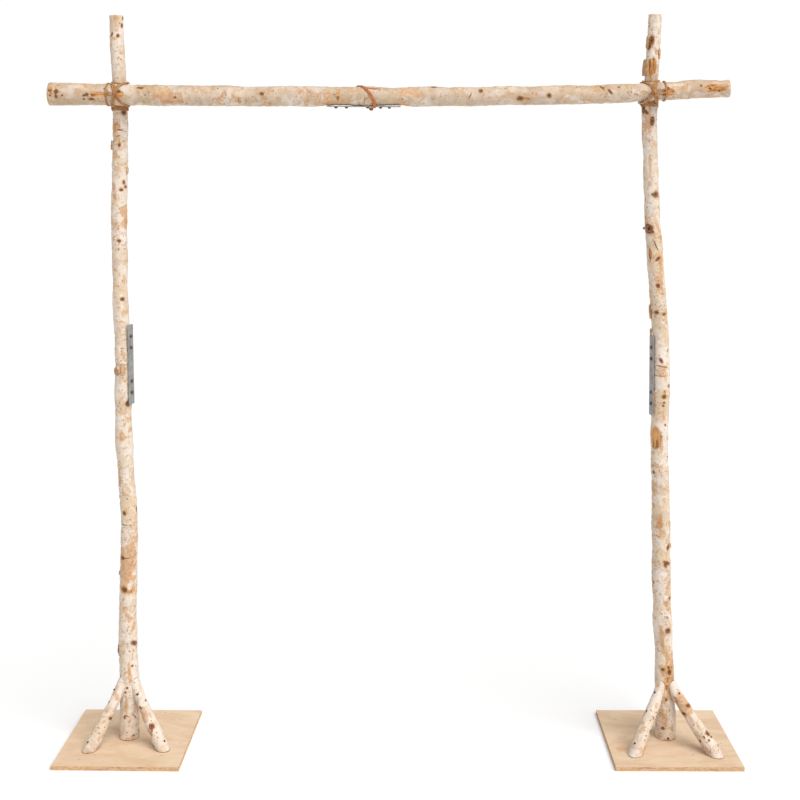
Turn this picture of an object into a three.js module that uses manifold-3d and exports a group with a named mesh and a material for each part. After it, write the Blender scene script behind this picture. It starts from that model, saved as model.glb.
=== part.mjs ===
// A rustic birch wedding arch, the open frame of a chuppah, in millimetres.
// X runs along the crossbeam, Y from the front of the arch to its back, Z up from the ground.
// Two bark-covered posts stand on square plywood boards. Each post is two logs end to end, held by a
// steel splice plate, and so is the crossbeam that is lashed across the front of both posts.
import * as THREE from 'three';
import { mergeVertices } from 'three/addons/utils/BufferGeometryUtils.js';
import Module from 'manifold-3d';

const wasm = await Module();
wasm.setup();

// Clearance kept between pieces that touch.
const GAP = 0.3;

// Plywood base boards: about 16 inches square, half an inch thick. Each board's middle, and its turn
// about Z in degrees.
const BOARD_SIDE = 411;
const BOARD_THICKNESS = 12.7;
const LEFT_BOARD = { x: -870, y: -3, turn: -1.1 };
const RIGHT_BOARD = { x: 932, y: -6, turn: -0.3 };
const POST_LINE = 900; // half the nominal distance between the posts

// A log is a list of stations along it: [distance along, sideways offset, radius].
// The posts run up from their boards, offset from the nominal post line.
const POST_FOOT = BOARD_THICKNESS + GAP;
const LEFT_POST_TOP = 2435;
const RIGHT_POST_TOP = 2438;
const LEFT_POST = [
  [POST_FOOT, 29.5, 34],
  [201, 28, 31.4],
  [369, 22, 30.4],
  [504, 24, 28],
  [739, 28.5, 28],
  [974, 11, 27.4],
  [1109, 6, 28.6],
  [1236, 8, 26.8],
  [1512, -3, 26],
  [1815, -6, 26.4],
  [2124, -2, 24.4],
  [2208, -7, 23],
  [LEFT_POST_TOP, -17, 23.5],
];
const RIGHT_POST = [
  [POST_FOOT, 29, 35],
  [201, 27, 31.8],
  [470, 16, 31.2],
  [806, 14, 29.7],
  [974, 8.5, 29.2],
  [1193, 14, 29.9],
  [1344, 13, 28.6],
  [1478, 5, 27.4],
  [1714, -12.5, 27],
  [1915, -20.5, 25.7],
  [2127, -25, 25.6],
  [2235, -19, 24],
  [2352, -8, 21.7],
  [RIGHT_POST_TOP, -5, 22.5],
];

// The crossbeam runs from left to right, offset up or down from its nominal height.
const BEAM_HEIGHT = 2162;
const BEAM = [
  [-1123, 6, 37.8],
  [-1089, 7, 37],
  [-957, 5, 34.3],
  [-820, 3, 33],
  [-626, 1, 32.8],
  [-294, -1.5, 32.2],
  [37, -4.3, 31.2],
  [368, 0, 30.2],
  [700, 5.5, 30.4],
  [865, 13, 29.8],
  [1031, 22.5, 28.8],
  [1126, 24, 28.6],
];

// Sawn-off branch stubs on the logs. The turn is in degrees about the log: on a post from +X, with -90
// to the front; on the beam from straight up, with 90 to the front.
const LEFT_POST_STUBS = [{ at: 1243, turn: -135, radius: 13, stands: 8 }];
const RIGHT_POST_STUBS = [
  { at: 1196, turn: -15, radius: 9, stands: 8 },
  { at: 1719, turn: -165, radius: 8, stands: 6 },
];
const BEAM_STUBS = [
  { at: 149, turn: 12, radius: 13, stands: 4 },
  { at: 640, turn: 5, radius: 8, stands: 5 },
];
const STUB_FLARE = 1.2; // how much wider a stub is at the log's heart than at its cut

// Where the two logs of each post and of the beam meet.
const LEFT_SEAM = 1265;
const RIGHT_SEAM = 1227;
const BEAM_SEAM = -80;
const BEAM_PLATE_CENTRE = -83;

// Steel splice plates, punched for four coach screws and one spare hole.
const PLATE_WIDTH = 32;
const PLATE_THICKNESS = 3;
const PLATE_CLEARANCE = 0.8; // the rough bark keeps a plate this far off its log
const POST_PLATE_LENGTH = 266;
const BEAM_PLATE_LENGTH = 245;
const POST_SCREW_OFFSETS = [-94, -56, 56, 94];
const BEAM_SCREW_OFFSETS = [-92, -57, 56, 85];
const SPARE_HOLE_OFFSET = 18;
const SPARE_HOLE_RADIUS = 2.5;
const LEFT_PLATE_TURN = -19; // degrees about Z, from facing +X towards the front
const RIGHT_PLATE_TURN = 192; // degrees about Z, so it faces -X and slightly forward

// Hexagon-headed coach screws.
const SCREW_HEAD_ACROSS_CORNERS = 11.5;
const SCREW_HEAD_HEIGHT = 5;
const SCREW_SHANK_RADIUS = 3;
const SCREW_LENGTH = 40;

// Slanted struts: where each foot stands, measured from the foot of its post. A strut swells towards
// its foot: the taper lists shares of its length from the foot and the radius there, against its own.
const STRUT_TOP = 190;
const SCRIBE_CLEARANCE = 1; // the rough bark keeps a strut's scribed top this far off its post
const STRUTS = {
  left_base: { radius: 18.5, feet: { left: [-112, -100], right: [129, -92] } },
  right_base: { radius: 19.5, feet: { left: [-125, -126], right: [135, -133] } },
};
const STRUT_TAPER = [[-0.2, 1.36], [0, 1.3], [0.12, 1.2], [0.3, 1.07], [0.5, 1], [0.75, 0.96], [1, 0.92]];

// Cord lashings where the beam crosses the posts. The crossed strands sit a little inward of each
// post, and one more turn goes round the beam on the post's outer side.
const CORD_RADIUS = 3.6;
const CORD_CLEARANCE = 1.2; // between a cord's middle line and the log it goes round, past its radius
const LASHING_INWARD = 15;
const LASHING_HALF_WIDTH = 27;
const WRAP_OUTWARD = { left: 22, right: 28 };
const WRAP_SLANT = 12; // how much further out the extra turn is at the back of the beam

// The flat strap tied round the beam at its seam. It slants: from the middle of the beam it runs
// forward of the seam by these amounts at the front and at the bottom.
const STRAP_WIDTH = 10;
const STRAP_THICKNESS = 2;
const STRAP_FRONT_SHIFT = 23;
const STRAP_BOTTOM_SHIFT = 19;
const STRAP_KNOT_RADIUS = 7;
const STRAP_KNOT_FLATNESS = 0.6;
const STRAP_REACH = 60; // more than the strap spreads along the beam, either way

// How finely round things are divided.
const LOG_SIDES = 18;
const RING_SPACING = 110;
const STUB_SIDES = 12;
const STRUT_SIDES = 16;
const HOLE_SIDES = 10;
const CORD_SIDES = 6;
const CORD_STEPS = 12; // along half of a closed loop
const CORD_LAP = 0.01; // share of a loop by which its two halves overlap

const BIRCH = { color: 0xe6d7c8, roughness: 0.85, metalness: 0 };
const PLYWOOD = { color: 0xe4c49e, roughness: 0.75, metalness: 0 };
const STEEL = { color: 0x9ba09b, roughness: 0.5, metalness: 0.8 };
const DARK_STEEL = { color: 0x5a5041, roughness: 0.6, metalness: 0.7 };
const RAWHIDE = { color: 0xbe8c55, roughness: 0.7, metalness: 0 };

const radians = THREE.MathUtils.degToRad;
const lerp = THREE.MathUtils.lerp;

// ---------------------------------------------------------------- solids

// A closed mesh as a solid that can be joined and cut.
function toSolid(geometry) {
  const bare = geometry.clone();
  bare.deleteAttribute('normal');
  bare.deleteAttribute('uv');
  const merged = mergeVertices(bare);
  const triangles = [];
  const index = merged.index.array;
  for (let i = 0; i < index.length; i += 3) {
    const [a, b, c] = index.slice(i, i + 3);
    if (a !== b && b !== c && c !== a) triangles.push(a, b, c);
  }
  const mesh = new wasm.Mesh({
    numProp: 3,
    vertProperties: new Float32Array(merged.getAttribute('position').array),
    triVerts: new Uint32Array(triangles),
  });
  return new wasm.Manifold(mesh);
}

// The faces of a solid, as a geometry.
function toGeometry(solid) {
  const mesh = solid.getMesh();
  const geometry = new THREE.BufferGeometry();
  geometry.setAttribute('position', new THREE.BufferAttribute(mesh.vertProperties, 3));
  geometry.setIndex(new THREE.BufferAttribute(mesh.triVerts, 1));
  geometry.computeVertexNormals();
  return geometry;
}

function makeMesh(name, geometry, finish) {
  const mesh = new THREE.Mesh(geometry, new THREE.MeshStandardMaterial(finish));
  mesh.name = name;
  return mesh;
}

// ---------------------------------------------------------------- logs

// Standing logs turn the lathe's axis up; a lying log turns it along X, with its offset upwards.
const STANDING = new THREE.Matrix4().makeBasis(
  new THREE.Vector3(1, 0, 0),
  new THREE.Vector3(0, 0, 1),
  new THREE.Vector3(0, -1, 0),
);
const LYING = new THREE.Matrix4().makeBasis(
  new THREE.Vector3(0, 0, 1),
  new THREE.Vector3(1, 0, 0),
  new THREE.Vector3(0, 1, 0),
);

class Log {
  constructor(stations, turn, centre) {
    const along = stations.map((station) => station[0]);
    const shape = stations.flatMap((station) => station.slice(1));
    this.curve = new THREE.CubicInterpolant(along, shape, 2);
    this.start = along[0];
    this.end = along.at(-1);
    this.placing = new THREE.Matrix4().setPosition(centre).multiply(turn);
  }

  at(distance) {
    const [offset, radius] = this.curve.evaluate(distance);
    return { offset, radius };
  }

  // The thickest the log is between two distances along it.
  thickest(from, to) {
    let most = 0;
    for (let at = from; at <= to; at += 5) most = Math.max(most, this.at(at).radius);
    return most;
  }

  // One length of the log, grown outwards by extra.
  length(from, to, extra = 0) {
    const rings = Math.ceil((to - from) / RING_SPACING);
    const profile = [new THREE.Vector2(0, from)];
    for (let i = 0; i <= rings; i++) {
      const at = lerp(from, to, i / rings);
      profile.push(new THREE.Vector2(this.at(at).radius + extra, at));
    }
    profile.push(new THREE.Vector2(0, to));
    const geometry = new THREE.LatheGeometry(profile, LOG_SIDES);
    const position = geometry.getAttribute('position');
    for (let i = 0; i < position.count; i++) {
      position.setX(i, position.getX(i) + this.at(position.getY(i)).offset);
    }
    return toSolid(geometry.applyMatrix4(this.placing));
  }

  // A sawn-off branch stub. The turn is about the log, from the way its offset runs.
  stub({ at, turn, radius, stands }) {
    const log = this.at(at);
    const reach = log.radius + stands;
    const geometry = new THREE.CylinderGeometry(radius, radius * STUB_FLARE, reach, STUB_SIDES);
    geometry.translate(0, reach / 2, 0);
    geometry.rotateZ(-Math.PI / 2);
    geometry.rotateY(radians(turn));
    geometry.translate(log.offset, at, 0);
    return toSolid(geometry.applyMatrix4(this.placing));
  }
}

const leftPost = new Log(LEFT_POST, STANDING, new THREE.Vector3(-POST_LINE, 0, 0));
const rightPost = new Log(RIGHT_POST, STANDING, new THREE.Vector3(POST_LINE, 0, 0));

// Each crossing: where the beam passes the post, and how thick both are there.
function crossing(post, postLine) {
  const beamRule = new Log(BEAM, LYING, new THREE.Vector3());
  const offset = post.at(BEAM_HEIGHT).offset;
  const x = postLine + offset;
  const beam = beamRule.at(x);
  const height = BEAM_HEIGHT + beam.offset;
  const reach = 2 * beam.radius;
  const postRadius = post.thickest(height - reach, height + reach);
  const beamRadius = beamRule.thickest(x - reach, x + reach);
  const postX = (z) => postLine + post.at(z).offset;
  const beamZ = (at) => BEAM_HEIGHT + beamRule.at(at).offset;
  return { x, height, postRadius, beamRadius, postX, beamZ };
}

const leftCrossing = crossing(leftPost, -POST_LINE);
leftCrossing.front = leftCrossing.x + LASHING_INWARD;
leftCrossing.wrap = leftCrossing.x - WRAP_OUTWARD.left;
leftCrossing.wrapBack = leftCrossing.wrap - WRAP_SLANT;
const rightCrossing = crossing(rightPost, POST_LINE);
rightCrossing.front = rightCrossing.x - LASHING_INWARD;
rightCrossing.wrap = rightCrossing.x + WRAP_OUTWARD.right;
rightCrossing.wrapBack = rightCrossing.wrap + WRAP_SLANT;
const setbacks = [leftCrossing, rightCrossing].map((place) => place.postRadius + place.beamRadius + GAP);
const BEAM_FORWARD = Math.max(...setbacks);
const beam = new Log(BEAM, LYING, new THREE.Vector3(0, -BEAM_FORWARD, BEAM_HEIGHT));

// ---------------------------------------------------------------- splice plates and their screws

// A group whose X faces out of the log, whose Z runs along it and whose YZ plane touches it.
function plateFrame(log, turn, from, to) {
  const middle = (from + to) / 2;
  const along = turn === null ? 0 : Math.cos(turn);
  const support = (at) => {
    const { offset, radius } = log.at(at);
    return radius + (turn === null ? -offset : offset * along);
  };
  const slope = (support(to) - support(from)) / (to - from);
  let base = -Infinity;
  for (let at = from; at <= to; at += 2) {
    base = Math.max(base, support(at) - slope * (at - middle));
  }
  const group = new THREE.Group();
  const tilted = new THREE.Group();
  tilted.rotation.y = Math.atan(slope);
  group.add(tilted);
  return { group, tilted, base: base + PLATE_CLEARANCE, middle };
}

function plateGeometry(length, offsets) {
  const half = PLATE_WIDTH / 2;
  const outline = new THREE.Shape();
  outline.moveTo(-half, -length / 2);
  outline.lineTo(half, -length / 2);
  outline.lineTo(half, length / 2);
  outline.lineTo(-half, length / 2);
  outline.closePath();
  const holes = offsets.map((at) => [at, SCREW_SHANK_RADIUS + GAP]);
  holes.push([SPARE_HOLE_OFFSET, SPARE_HOLE_RADIUS]);
  for (const [at, radius] of holes) {
    outline.holes.push(new THREE.Path().absarc(0, at, radius, 0, 2 * Math.PI));
  }
  const geometry = new THREE.ExtrudeGeometry(outline, {
    depth: PLATE_THICKNESS,
    bevelEnabled: false,
    curveSegments: HOLE_SIDES,
  });
  // The outline's X becomes the plate's width along Y, its Y the length along Z.
  return geometry.applyMatrix4(new THREE.Matrix4().makeBasis(
    new THREE.Vector3(0, 1, 0),
    new THREE.Vector3(0, 0, 1),
    new THREE.Vector3(1, 0, 0),
  ));
}

function screwGeometry() {
  const head = new THREE.CylinderGeometry(
    SCREW_HEAD_ACROSS_CORNERS / 2, SCREW_HEAD_ACROSS_CORNERS / 2, SCREW_HEAD_HEIGHT, 6,
  );
  head.translate(0, SCREW_HEAD_HEIGHT / 2, 0);
  const overlap = SCREW_HEAD_HEIGHT / 2;
  const shank = new THREE.CylinderGeometry(
    SCREW_SHANK_RADIUS, SCREW_SHANK_RADIUS, SCREW_LENGTH + overlap, HOLE_SIDES,
  );
  shank.translate(0, (overlap - SCREW_LENGTH) / 2, 0);
  const whole = toGeometry(toSolid(head).add(toSolid(shank)));
  return whole.rotateZ(-Math.PI / 2);
}

// The hole that a screw needs, in the plate's frame.
function pilotHole(at) {
  const hole = new THREE.CylinderGeometry(
    SCREW_SHANK_RADIUS + GAP, SCREW_SHANK_RADIUS + GAP, 2 * (SCREW_LENGTH + GAP), HOLE_SIDES,
  );
  hole.rotateZ(Math.PI / 2);
  hole.translate(PLATE_THICKNESS, 0, at);
  return hole;
}

// Fits a plate over a seam, returns its pieces and the holes its screws need in the logs.
function splice(name, log, { length, offsets, turn, centre }) {
  const down = turn === null;
  const { group, tilted, base, middle } = plateFrame(
    log, down ? null : radians(turn), centre - length / 2, centre + length / 2,
  );
  const origin = new THREE.Vector3().setFromMatrixPosition(log.placing);
  if (down) {
    group.rotation.y = Math.PI / 2;
    group.position.set(middle, origin.y, origin.z - base);
  } else {
    const offset = log.at(middle).offset;
    const reach = base - offset * Math.cos(radians(turn));
    group.rotation.z = radians(turn);
    group.position.set(
      origin.x + offset + reach * Math.cos(radians(turn)),
      origin.y + reach * Math.sin(radians(turn)),
      middle,
    );
  }
  tilted.add(makeMesh(`${name}_plate`, plateGeometry(length, offsets), STEEL));
  offsets.forEach((at, i) => {
    const screw = makeMesh(`${name}_screw_${i + 1}`, screwGeometry(), DARK_STEEL);
    screw.position.set(PLATE_THICKNESS + GAP, 0, at);
    tilted.add(screw);
  });
  group.updateMatrixWorld(true);
  const holes = offsets.map((at) => toSolid(pilotHole(at).applyMatrix4(tilted.matrixWorld)));
  return { group, holes, outerFace: base + PLATE_THICKNESS };
}

const leftSplice = splice('left_post_splice', leftPost, {
  length: POST_PLATE_LENGTH, offsets: POST_SCREW_OFFSETS, turn: LEFT_PLATE_TURN, centre: LEFT_SEAM,
});
const rightSplice = splice('right_post_splice', rightPost, {
  length: POST_PLATE_LENGTH, offsets: POST_SCREW_OFFSETS, turn: RIGHT_PLATE_TURN, centre: RIGHT_SEAM,
});
const beamSplice = splice('beam_splice', beam, {
  length: BEAM_PLATE_LENGTH, offsets: BEAM_SCREW_OFFSETS, turn: null, centre: BEAM_PLATE_CENTRE,
});

// ---------------------------------------------------------------- struts

// A round strut from the board up to its post, its foot sawn level and its top scribed to the post.
function strut(post, postLine, radius, [footX, footY]) {
  const foot = new THREE.Vector3(postLine + post.at(POST_FOOT).offset + footX, footY, POST_FOOT);
  const meets = new THREE.Vector3(postLine + post.at(STRUT_TOP).offset, 0, 0);
  const run = Math.hypot(footX, footY) - post.at(STRUT_TOP).radius;
  const rise = STRUT_TOP - radius / 2 - POST_FOOT;
  meets.z = POST_FOOT + (rise * Math.hypot(footX, footY)) / run;
  const axis = meets.clone().sub(foot);
  const length = axis.length();
  const profile = STRUT_TAPER.map(([share, swell]) => new THREE.Vector2(radius * swell, length * share));
  profile.unshift(new THREE.Vector2(0, profile[0].y));
  profile.push(new THREE.Vector2(0, length));
  const round = new THREE.LatheGeometry(profile, STRUT_SIDES);
  const turn = new THREE.Quaternion().setFromUnitVectors(
    new THREE.Vector3(0, 1, 0), axis.clone().normalize(),
  );
  round.applyQuaternion(turn);
  round.translate(foot.x, foot.y, foot.z);
  const ground = new THREE.BoxGeometry(BOARD_SIDE, BOARD_SIDE, BOARD_SIDE);
  ground.translate(foot.x, foot.y, POST_FOOT - BOARD_SIDE / 2);
  const grown = post.length(POST_FOOT - GAP, 3 * STRUT_TOP, SCRIBE_CLEARANCE);
  return toGeometry(toSolid(round).subtract(toSolid(ground)).subtract(grown));
}

// ---------------------------------------------------------------- cords

// Degrees round a full turn, over the front of the beam from below to above it, and behind a post.
const EIGHTHS = [0, 45, 90, 135, 180, 225, 270, 315];
const OVER_BEAM = [105, 75, 45, 15, -15, -45, -75, -105];
const BEHIND_POST = [0, 45, 90, 135, 180];

// Part of a closed curve, from one share of its length to another.
class Stretch extends THREE.Curve {
  constructor(whole, from, to) {
    super();
    this.whole = whole;
    this.from = from;
    this.to = to;
  }

  getPoint(t, target) {
    const at = lerp(this.from, this.to, t);
    return this.whole.getPoint(at - Math.floor(at), target);
  }
}

// A closed loop of cord or strap through the points, swept in two halves that overlap.
function loop(points, section) {
  const whole = new THREE.CatmullRomCurve3(points, true);
  const halves = [[0, 0.5 + CORD_LAP], [0.5, 1 + CORD_LAP]].map(([from, to]) => toSolid(
    new THREE.ExtrudeGeometry(section, {
      extrudePath: new Stretch(whole, from, to), steps: CORD_STEPS, bevelEnabled: false,
    }),
  ));
  return halves[0].add(halves[1]);
}

function roundSection(radius) {
  const outline = new THREE.Shape();
  for (let i = 0; i < CORD_SIDES; i++) {
    const turn = (2 * Math.PI * i) / CORD_SIDES;
    const point = [radius * Math.cos(turn), radius * Math.sin(turn)];
    if (i === 0) outline.moveTo(...point);
    else outline.lineTo(...point);
  }
  outline.closePath();
  return outline;
}

// One strand laid diagonally over the beam and round behind the post. It leans one way or the other.
function diagonal(place, lean) {
  const beamReach = place.beamRadius + CORD_RADIUS + CORD_CLEARANCE;
  const postReach = place.postRadius + CORD_RADIUS + CORD_CLEARANCE;
  const points = [];
  for (const turn of OVER_BEAM) {
    const x = place.front - lean * LASHING_HALF_WIDTH * Math.sin(radians(turn));
    points.push(new THREE.Vector3(
      x,
      -BEAM_FORWARD - beamReach * Math.cos(radians(turn)),
      place.beamZ(x) + beamReach * Math.sin(radians(turn)),
    ));
  }
  for (const turn of BEHIND_POST) {
    const round = lean > 0 ? turn : 180 - turn;
    const z = place.height - lean * beamReach * Math.cos(radians(round));
    points.push(new THREE.Vector3(
      place.postX(z) + postReach * Math.cos(radians(round)),
      postReach * Math.sin(radians(round)),
      z,
    ));
  }
  return loop(points, roundSection(CORD_RADIUS));
}

// A level ring round the post, just above or below the beam.
function collar(place, side) {
  const reach = place.postRadius + CORD_RADIUS + CORD_CLEARANCE;
  const height = place.height + side * (place.beamRadius + 2 * CORD_RADIUS);
  const points = EIGHTHS.map((turn) => new THREE.Vector3(
    place.postX(height) + reach * Math.cos(radians(turn)),
    reach * Math.sin(radians(turn)),
    height,
  ));
  return loop(points, roundSection(CORD_RADIUS));
}

// One more turn round the beam alone, on the outer side of the post.
function beamWrap(place) {
  const reach = place.beamRadius + CORD_RADIUS + CORD_CLEARANCE;
  const points = EIGHTHS.map((turn) => {
    const x = lerp(place.wrap, place.wrapBack, (1 - Math.cos(radians(turn))) / 2);
    return new THREE.Vector3(
      x,
      -BEAM_FORWARD - reach * Math.cos(radians(turn)),
      place.beamZ(x) + reach * Math.sin(radians(turn)),
    );
  });
  return loop(points, roundSection(CORD_RADIUS));
}

// The short strand across the front that ties the extra turn to the crossed strands.
function crossStrand(place) {
  const length = Math.abs(place.wrap - place.front);
  const strand = new THREE.CylinderGeometry(CORD_RADIUS, CORD_RADIUS, length, CORD_SIDES);
  strand.rotateZ(Math.PI / 2);
  const forward = BEAM_FORWARD + place.beamRadius + 2 * CORD_RADIUS;
  strand.translate((place.wrap + place.front) / 2, -forward, place.height);
  return toSolid(strand);
}

function lashing(place) {
  const strands = [
    collar(place, 1), collar(place, -1), beamWrap(place), crossStrand(place),
    diagonal(place, 1), diagonal(place, -1),
  ];
  return toGeometry(strands.reduce((whole, strand) => whole.add(strand)));
}

// The outline round the beam and the plate under it, grown outwards by extra.
function tieOutline(radius, plateDrop, extra) {
  const reach = radius + extra;
  const cornerX = PLATE_WIDTH / 2 + extra;
  const cornerY = -(plateDrop + extra);
  const corner = Math.atan2(cornerY, cornerX);
  const touch = corner + Math.acos(reach / Math.hypot(cornerX, cornerY));
  const outline = new THREE.Shape();
  outline.moveTo(-cornerX, cornerY);
  outline.lineTo(cornerX, cornerY);
  outline.absarc(0, 0, reach, touch, Math.PI - touch);
  outline.closePath();
  return outline;
}

// The strap round the beam's seam and its splice plate, with a knot under the plate.
function jointTie() {
  const { offset } = beam.at(BEAM_SEAM);
  const plateDrop = beamSplice.outerFace + offset + GAP;
  const radius = beam.thickest(BEAM_SEAM - STRAP_REACH, BEAM_SEAM + STRAP_REACH) + GAP;
  const sleeve = (extra, length) => {
    const geometry = new THREE.ExtrudeGeometry(tieOutline(radius, plateDrop, extra), {
      depth: length, bevelEnabled: false, curveSegments: LOG_SIDES,
    });
    geometry.translate(0, 0, -length / 2);
    // The outline's X runs along Y, its Y up, and the sleeve's length along X.
    return toSolid(geometry.applyMatrix4(new THREE.Matrix4().makeBasis(
      new THREE.Vector3(0, 1, 0),
      new THREE.Vector3(0, 0, 1),
      new THREE.Vector3(1, 0, 0),
    )));
  };
  const across = new THREE.Vector3(1, STRAP_FRONT_SHIFT / radius, STRAP_BOTTOM_SHIFT / radius);
  const band = new THREE.BoxGeometry(STRAP_WIDTH, 6 * radius, 6 * radius);
  band.applyQuaternion(new THREE.Quaternion().setFromUnitVectors(
    new THREE.Vector3(1, 0, 0), across.normalize(),
  ));
  const outer = sleeve(STRAP_THICKNESS + GAP, 2 * STRAP_REACH);
  const inner = sleeve(GAP, 3 * STRAP_REACH);
  const strap = outer.subtract(inner).intersect(toSolid(band));
  const knot = new THREE.SphereGeometry(STRAP_KNOT_RADIUS, STUB_SIDES, STUB_SIDES / 2);
  knot.scale(1, 1, STRAP_KNOT_FLATNESS);
  const knotHeight = plateDrop + GAP + STRAP_KNOT_RADIUS * STRAP_KNOT_FLATNESS;
  knot.translate(STRAP_BOTTOM_SHIFT, 0, -knotHeight);
  const whole = toGeometry(strap.add(toSolid(knot)));
  return whole.translate(BEAM_SEAM, -BEAM_FORWARD, BEAM_HEIGHT + offset);
}

// ---------------------------------------------------------------- the arch

const arch = new THREE.Group();

// Two lengths of a log that meet at its seam, with their stubs and the holes for their screws.
function addLogs(names, log, seam, stubs, holes) {
  const stretches = [[log.start, seam - GAP], [seam + GAP, log.end]];
  stretches.forEach(([from, to], i) => {
    let solid = log.length(from, to);
    for (const stub of stubs.filter(({ at }) => at > from && at < to)) solid = solid.add(log.stub(stub));
    for (const hole of holes) solid = solid.subtract(hole);
    arch.add(makeMesh(names[i], toGeometry(solid), BIRCH));
  });
}

const bases = [
  { side: 'left', post: leftPost, line: -POST_LINE, board: LEFT_BOARD },
  { side: 'right', post: rightPost, line: POST_LINE, board: RIGHT_BOARD },
];
for (const { side, post, line, board } of bases) {
  const plywood = makeMesh(
    `${side}_base_board`, new THREE.BoxGeometry(BOARD_SIDE, BOARD_SIDE, BOARD_THICKNESS), PLYWOOD,
  );
  plywood.position.set(board.x, board.y, BOARD_THICKNESS / 2);
  plywood.rotation.z = radians(board.turn);
  arch.add(plywood);
  const { radius, feet } = STRUTS[`${side}_base`];
  for (const [way, foot] of Object.entries(feet)) {
    arch.add(makeMesh(`${side}_base_${way}_strut`, strut(post, line, radius, foot), BIRCH));
  }
}
addLogs(['left_post_lower', 'left_post_upper'], leftPost, LEFT_SEAM, LEFT_POST_STUBS, leftSplice.holes);
addLogs(['right_post_lower', 'right_post_upper'], rightPost, RIGHT_SEAM, RIGHT_POST_STUBS, rightSplice.holes);
addLogs(['beam_left_half', 'beam_right_half'], beam, BEAM_SEAM, BEAM_STUBS, beamSplice.holes);
arch.add(leftSplice.group, rightSplice.group, beamSplice.group);
arch.add(makeMesh('beam_seam_strap', jointTie(), RAWHIDE));
arch.add(makeMesh('left_lashing', lashing(leftCrossing), RAWHIDE));
arch.add(makeMesh('right_lashing', lashing(rightCrossing), RAWHIDE));

// The origin is on the ground under the middle of the arch.
const box = new THREE.Box3().setFromObject(arch);
const middle = box.getCenter(new THREE.Vector3());
arch.position.set(-middle.x, -middle.y, 0);

export default arch;
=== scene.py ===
import math

import bmesh
import bpy
import numpy as np
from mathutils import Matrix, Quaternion, Vector
from mathutils.bvhtree import BVHTree
from mathutils.geometry import tessellate_polygon


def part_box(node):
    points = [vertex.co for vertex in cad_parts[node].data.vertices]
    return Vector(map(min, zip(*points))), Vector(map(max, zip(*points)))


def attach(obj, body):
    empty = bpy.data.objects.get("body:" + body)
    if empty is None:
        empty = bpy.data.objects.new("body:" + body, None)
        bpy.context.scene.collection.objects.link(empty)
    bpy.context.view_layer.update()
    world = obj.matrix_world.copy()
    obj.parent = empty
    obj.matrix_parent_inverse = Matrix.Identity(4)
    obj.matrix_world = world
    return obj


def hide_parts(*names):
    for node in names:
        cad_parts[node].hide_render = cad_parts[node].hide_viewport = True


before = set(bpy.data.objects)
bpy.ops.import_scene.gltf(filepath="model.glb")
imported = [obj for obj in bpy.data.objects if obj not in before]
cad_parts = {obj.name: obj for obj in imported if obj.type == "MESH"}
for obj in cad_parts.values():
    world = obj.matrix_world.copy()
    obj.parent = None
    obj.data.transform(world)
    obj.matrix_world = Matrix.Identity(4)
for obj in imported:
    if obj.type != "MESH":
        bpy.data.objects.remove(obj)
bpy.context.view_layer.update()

# ---------------------------------------------------------------- where the arch stands, and its light
# The arch stands on a plain pale studio floor. It is looked at from the front, four metres away and
# nearly two metres up, with one wide soft lamp high on the right and even daylight all round.

EYE = Vector((0.0294, -4.1233, 1.9331))
LENS = 55.25
SHIFT = -0.29375

viewpoint = bpy.data.cameras.new("viewpoint")
viewpoint.sensor_width = 36.0
viewpoint.lens = LENS
viewpoint.shift_y = SHIFT
viewpoint.clip_end = 2000.0
camera = bpy.data.objects.new("viewpoint", viewpoint)
camera.location = EYE
camera.rotation_euler = (math.pi / 2, 0.0, 0.0)
bpy.context.scene.collection.objects.link(camera)
bpy.context.scene.camera = camera
bpy.context.scene.view_settings.view_transform = "Standard"


class Shade:
    """One socket in a node tree. Sums and products of shades add Math nodes."""

    def __init__(self, tree, socket=None):
        self.tree = tree
        self.socket = socket

    def node(self, kind, settings=None, values=None, out=0):
        """Adds a node: its settings come first, then its sockets, each a value or another shade."""
        made = self.tree.nodes.new("ShaderNode" + kind)
        for name, value in (settings or {}).items():
            setattr(made, name, value)
        for name, value in (values or {}).items():
            if isinstance(value, Shade):
                self.tree.links.new(value.socket, made.inputs[name])
            else:
                made.inputs[name].default_value = value
        return Shade(self.tree, made.outputs[out])

    def math(self, operation, *values):
        return self.node("Math", {"operation": operation}, dict(enumerate(values)))

    def __add__(self, other):
        return self.math("ADD", self, other)

    __radd__ = __add__

    def __sub__(self, other):
        return self.math("SUBTRACT", self, other)

    def __rsub__(self, other):
        return self.math("SUBTRACT", other, self)

    def __mul__(self, other):
        return self.math("MULTIPLY", self, other)

    __rmul__ = __mul__

    def places(self):
        """Places on the piece itself, in metres."""
        return self.node("TexCoord", out=3)

    def step(self, low, high):
        """A smooth step from 0 at low to 1 at high."""
        places = {"Value": self, "From Min": low, "From Max": high}
        return self.node("MapRange", {"interpolation_type": "SMOOTHSTEP"}, places)

    def paint(self, under, over):
        """Colour over on colour under, as thick as this shade. A plain colour is red, green and blue."""
        under, over = (tone if isinstance(tone, Shade) else colour(*tone) for tone in (under, over))
        return self.node("Mix", {"data_type": "RGBA"}, {0: self, 6: under, 7: over}, out=2)

    def coated(self, *coats):
        """This colour under further coats, each a mask and the colour it lays on."""
        tone = self
        for mask, over in coats:
            tone = mask.paint(tone, over)
        return tone

    def carried(self, name, out=2):
        """What the mesh carries under this name: a number, or with out=1 a place."""
        return self.node("Attribute", {"attribute_name": name}, out=out)

    def stretched(self, factors):
        """This vector, scaled along its axes."""
        return self.node("VectorMath", {"operation": "MULTIPLY"}, {0: self, 1: factors})

    def noise(self, scale, detail=2.0, rough=0.5, warp=0.0):
        values = {"Vector": self, "Scale": scale, "Detail": detail, "Roughness": rough}
        return self.node("TexNoise", {}, values | {"Distortion": warp})


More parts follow.
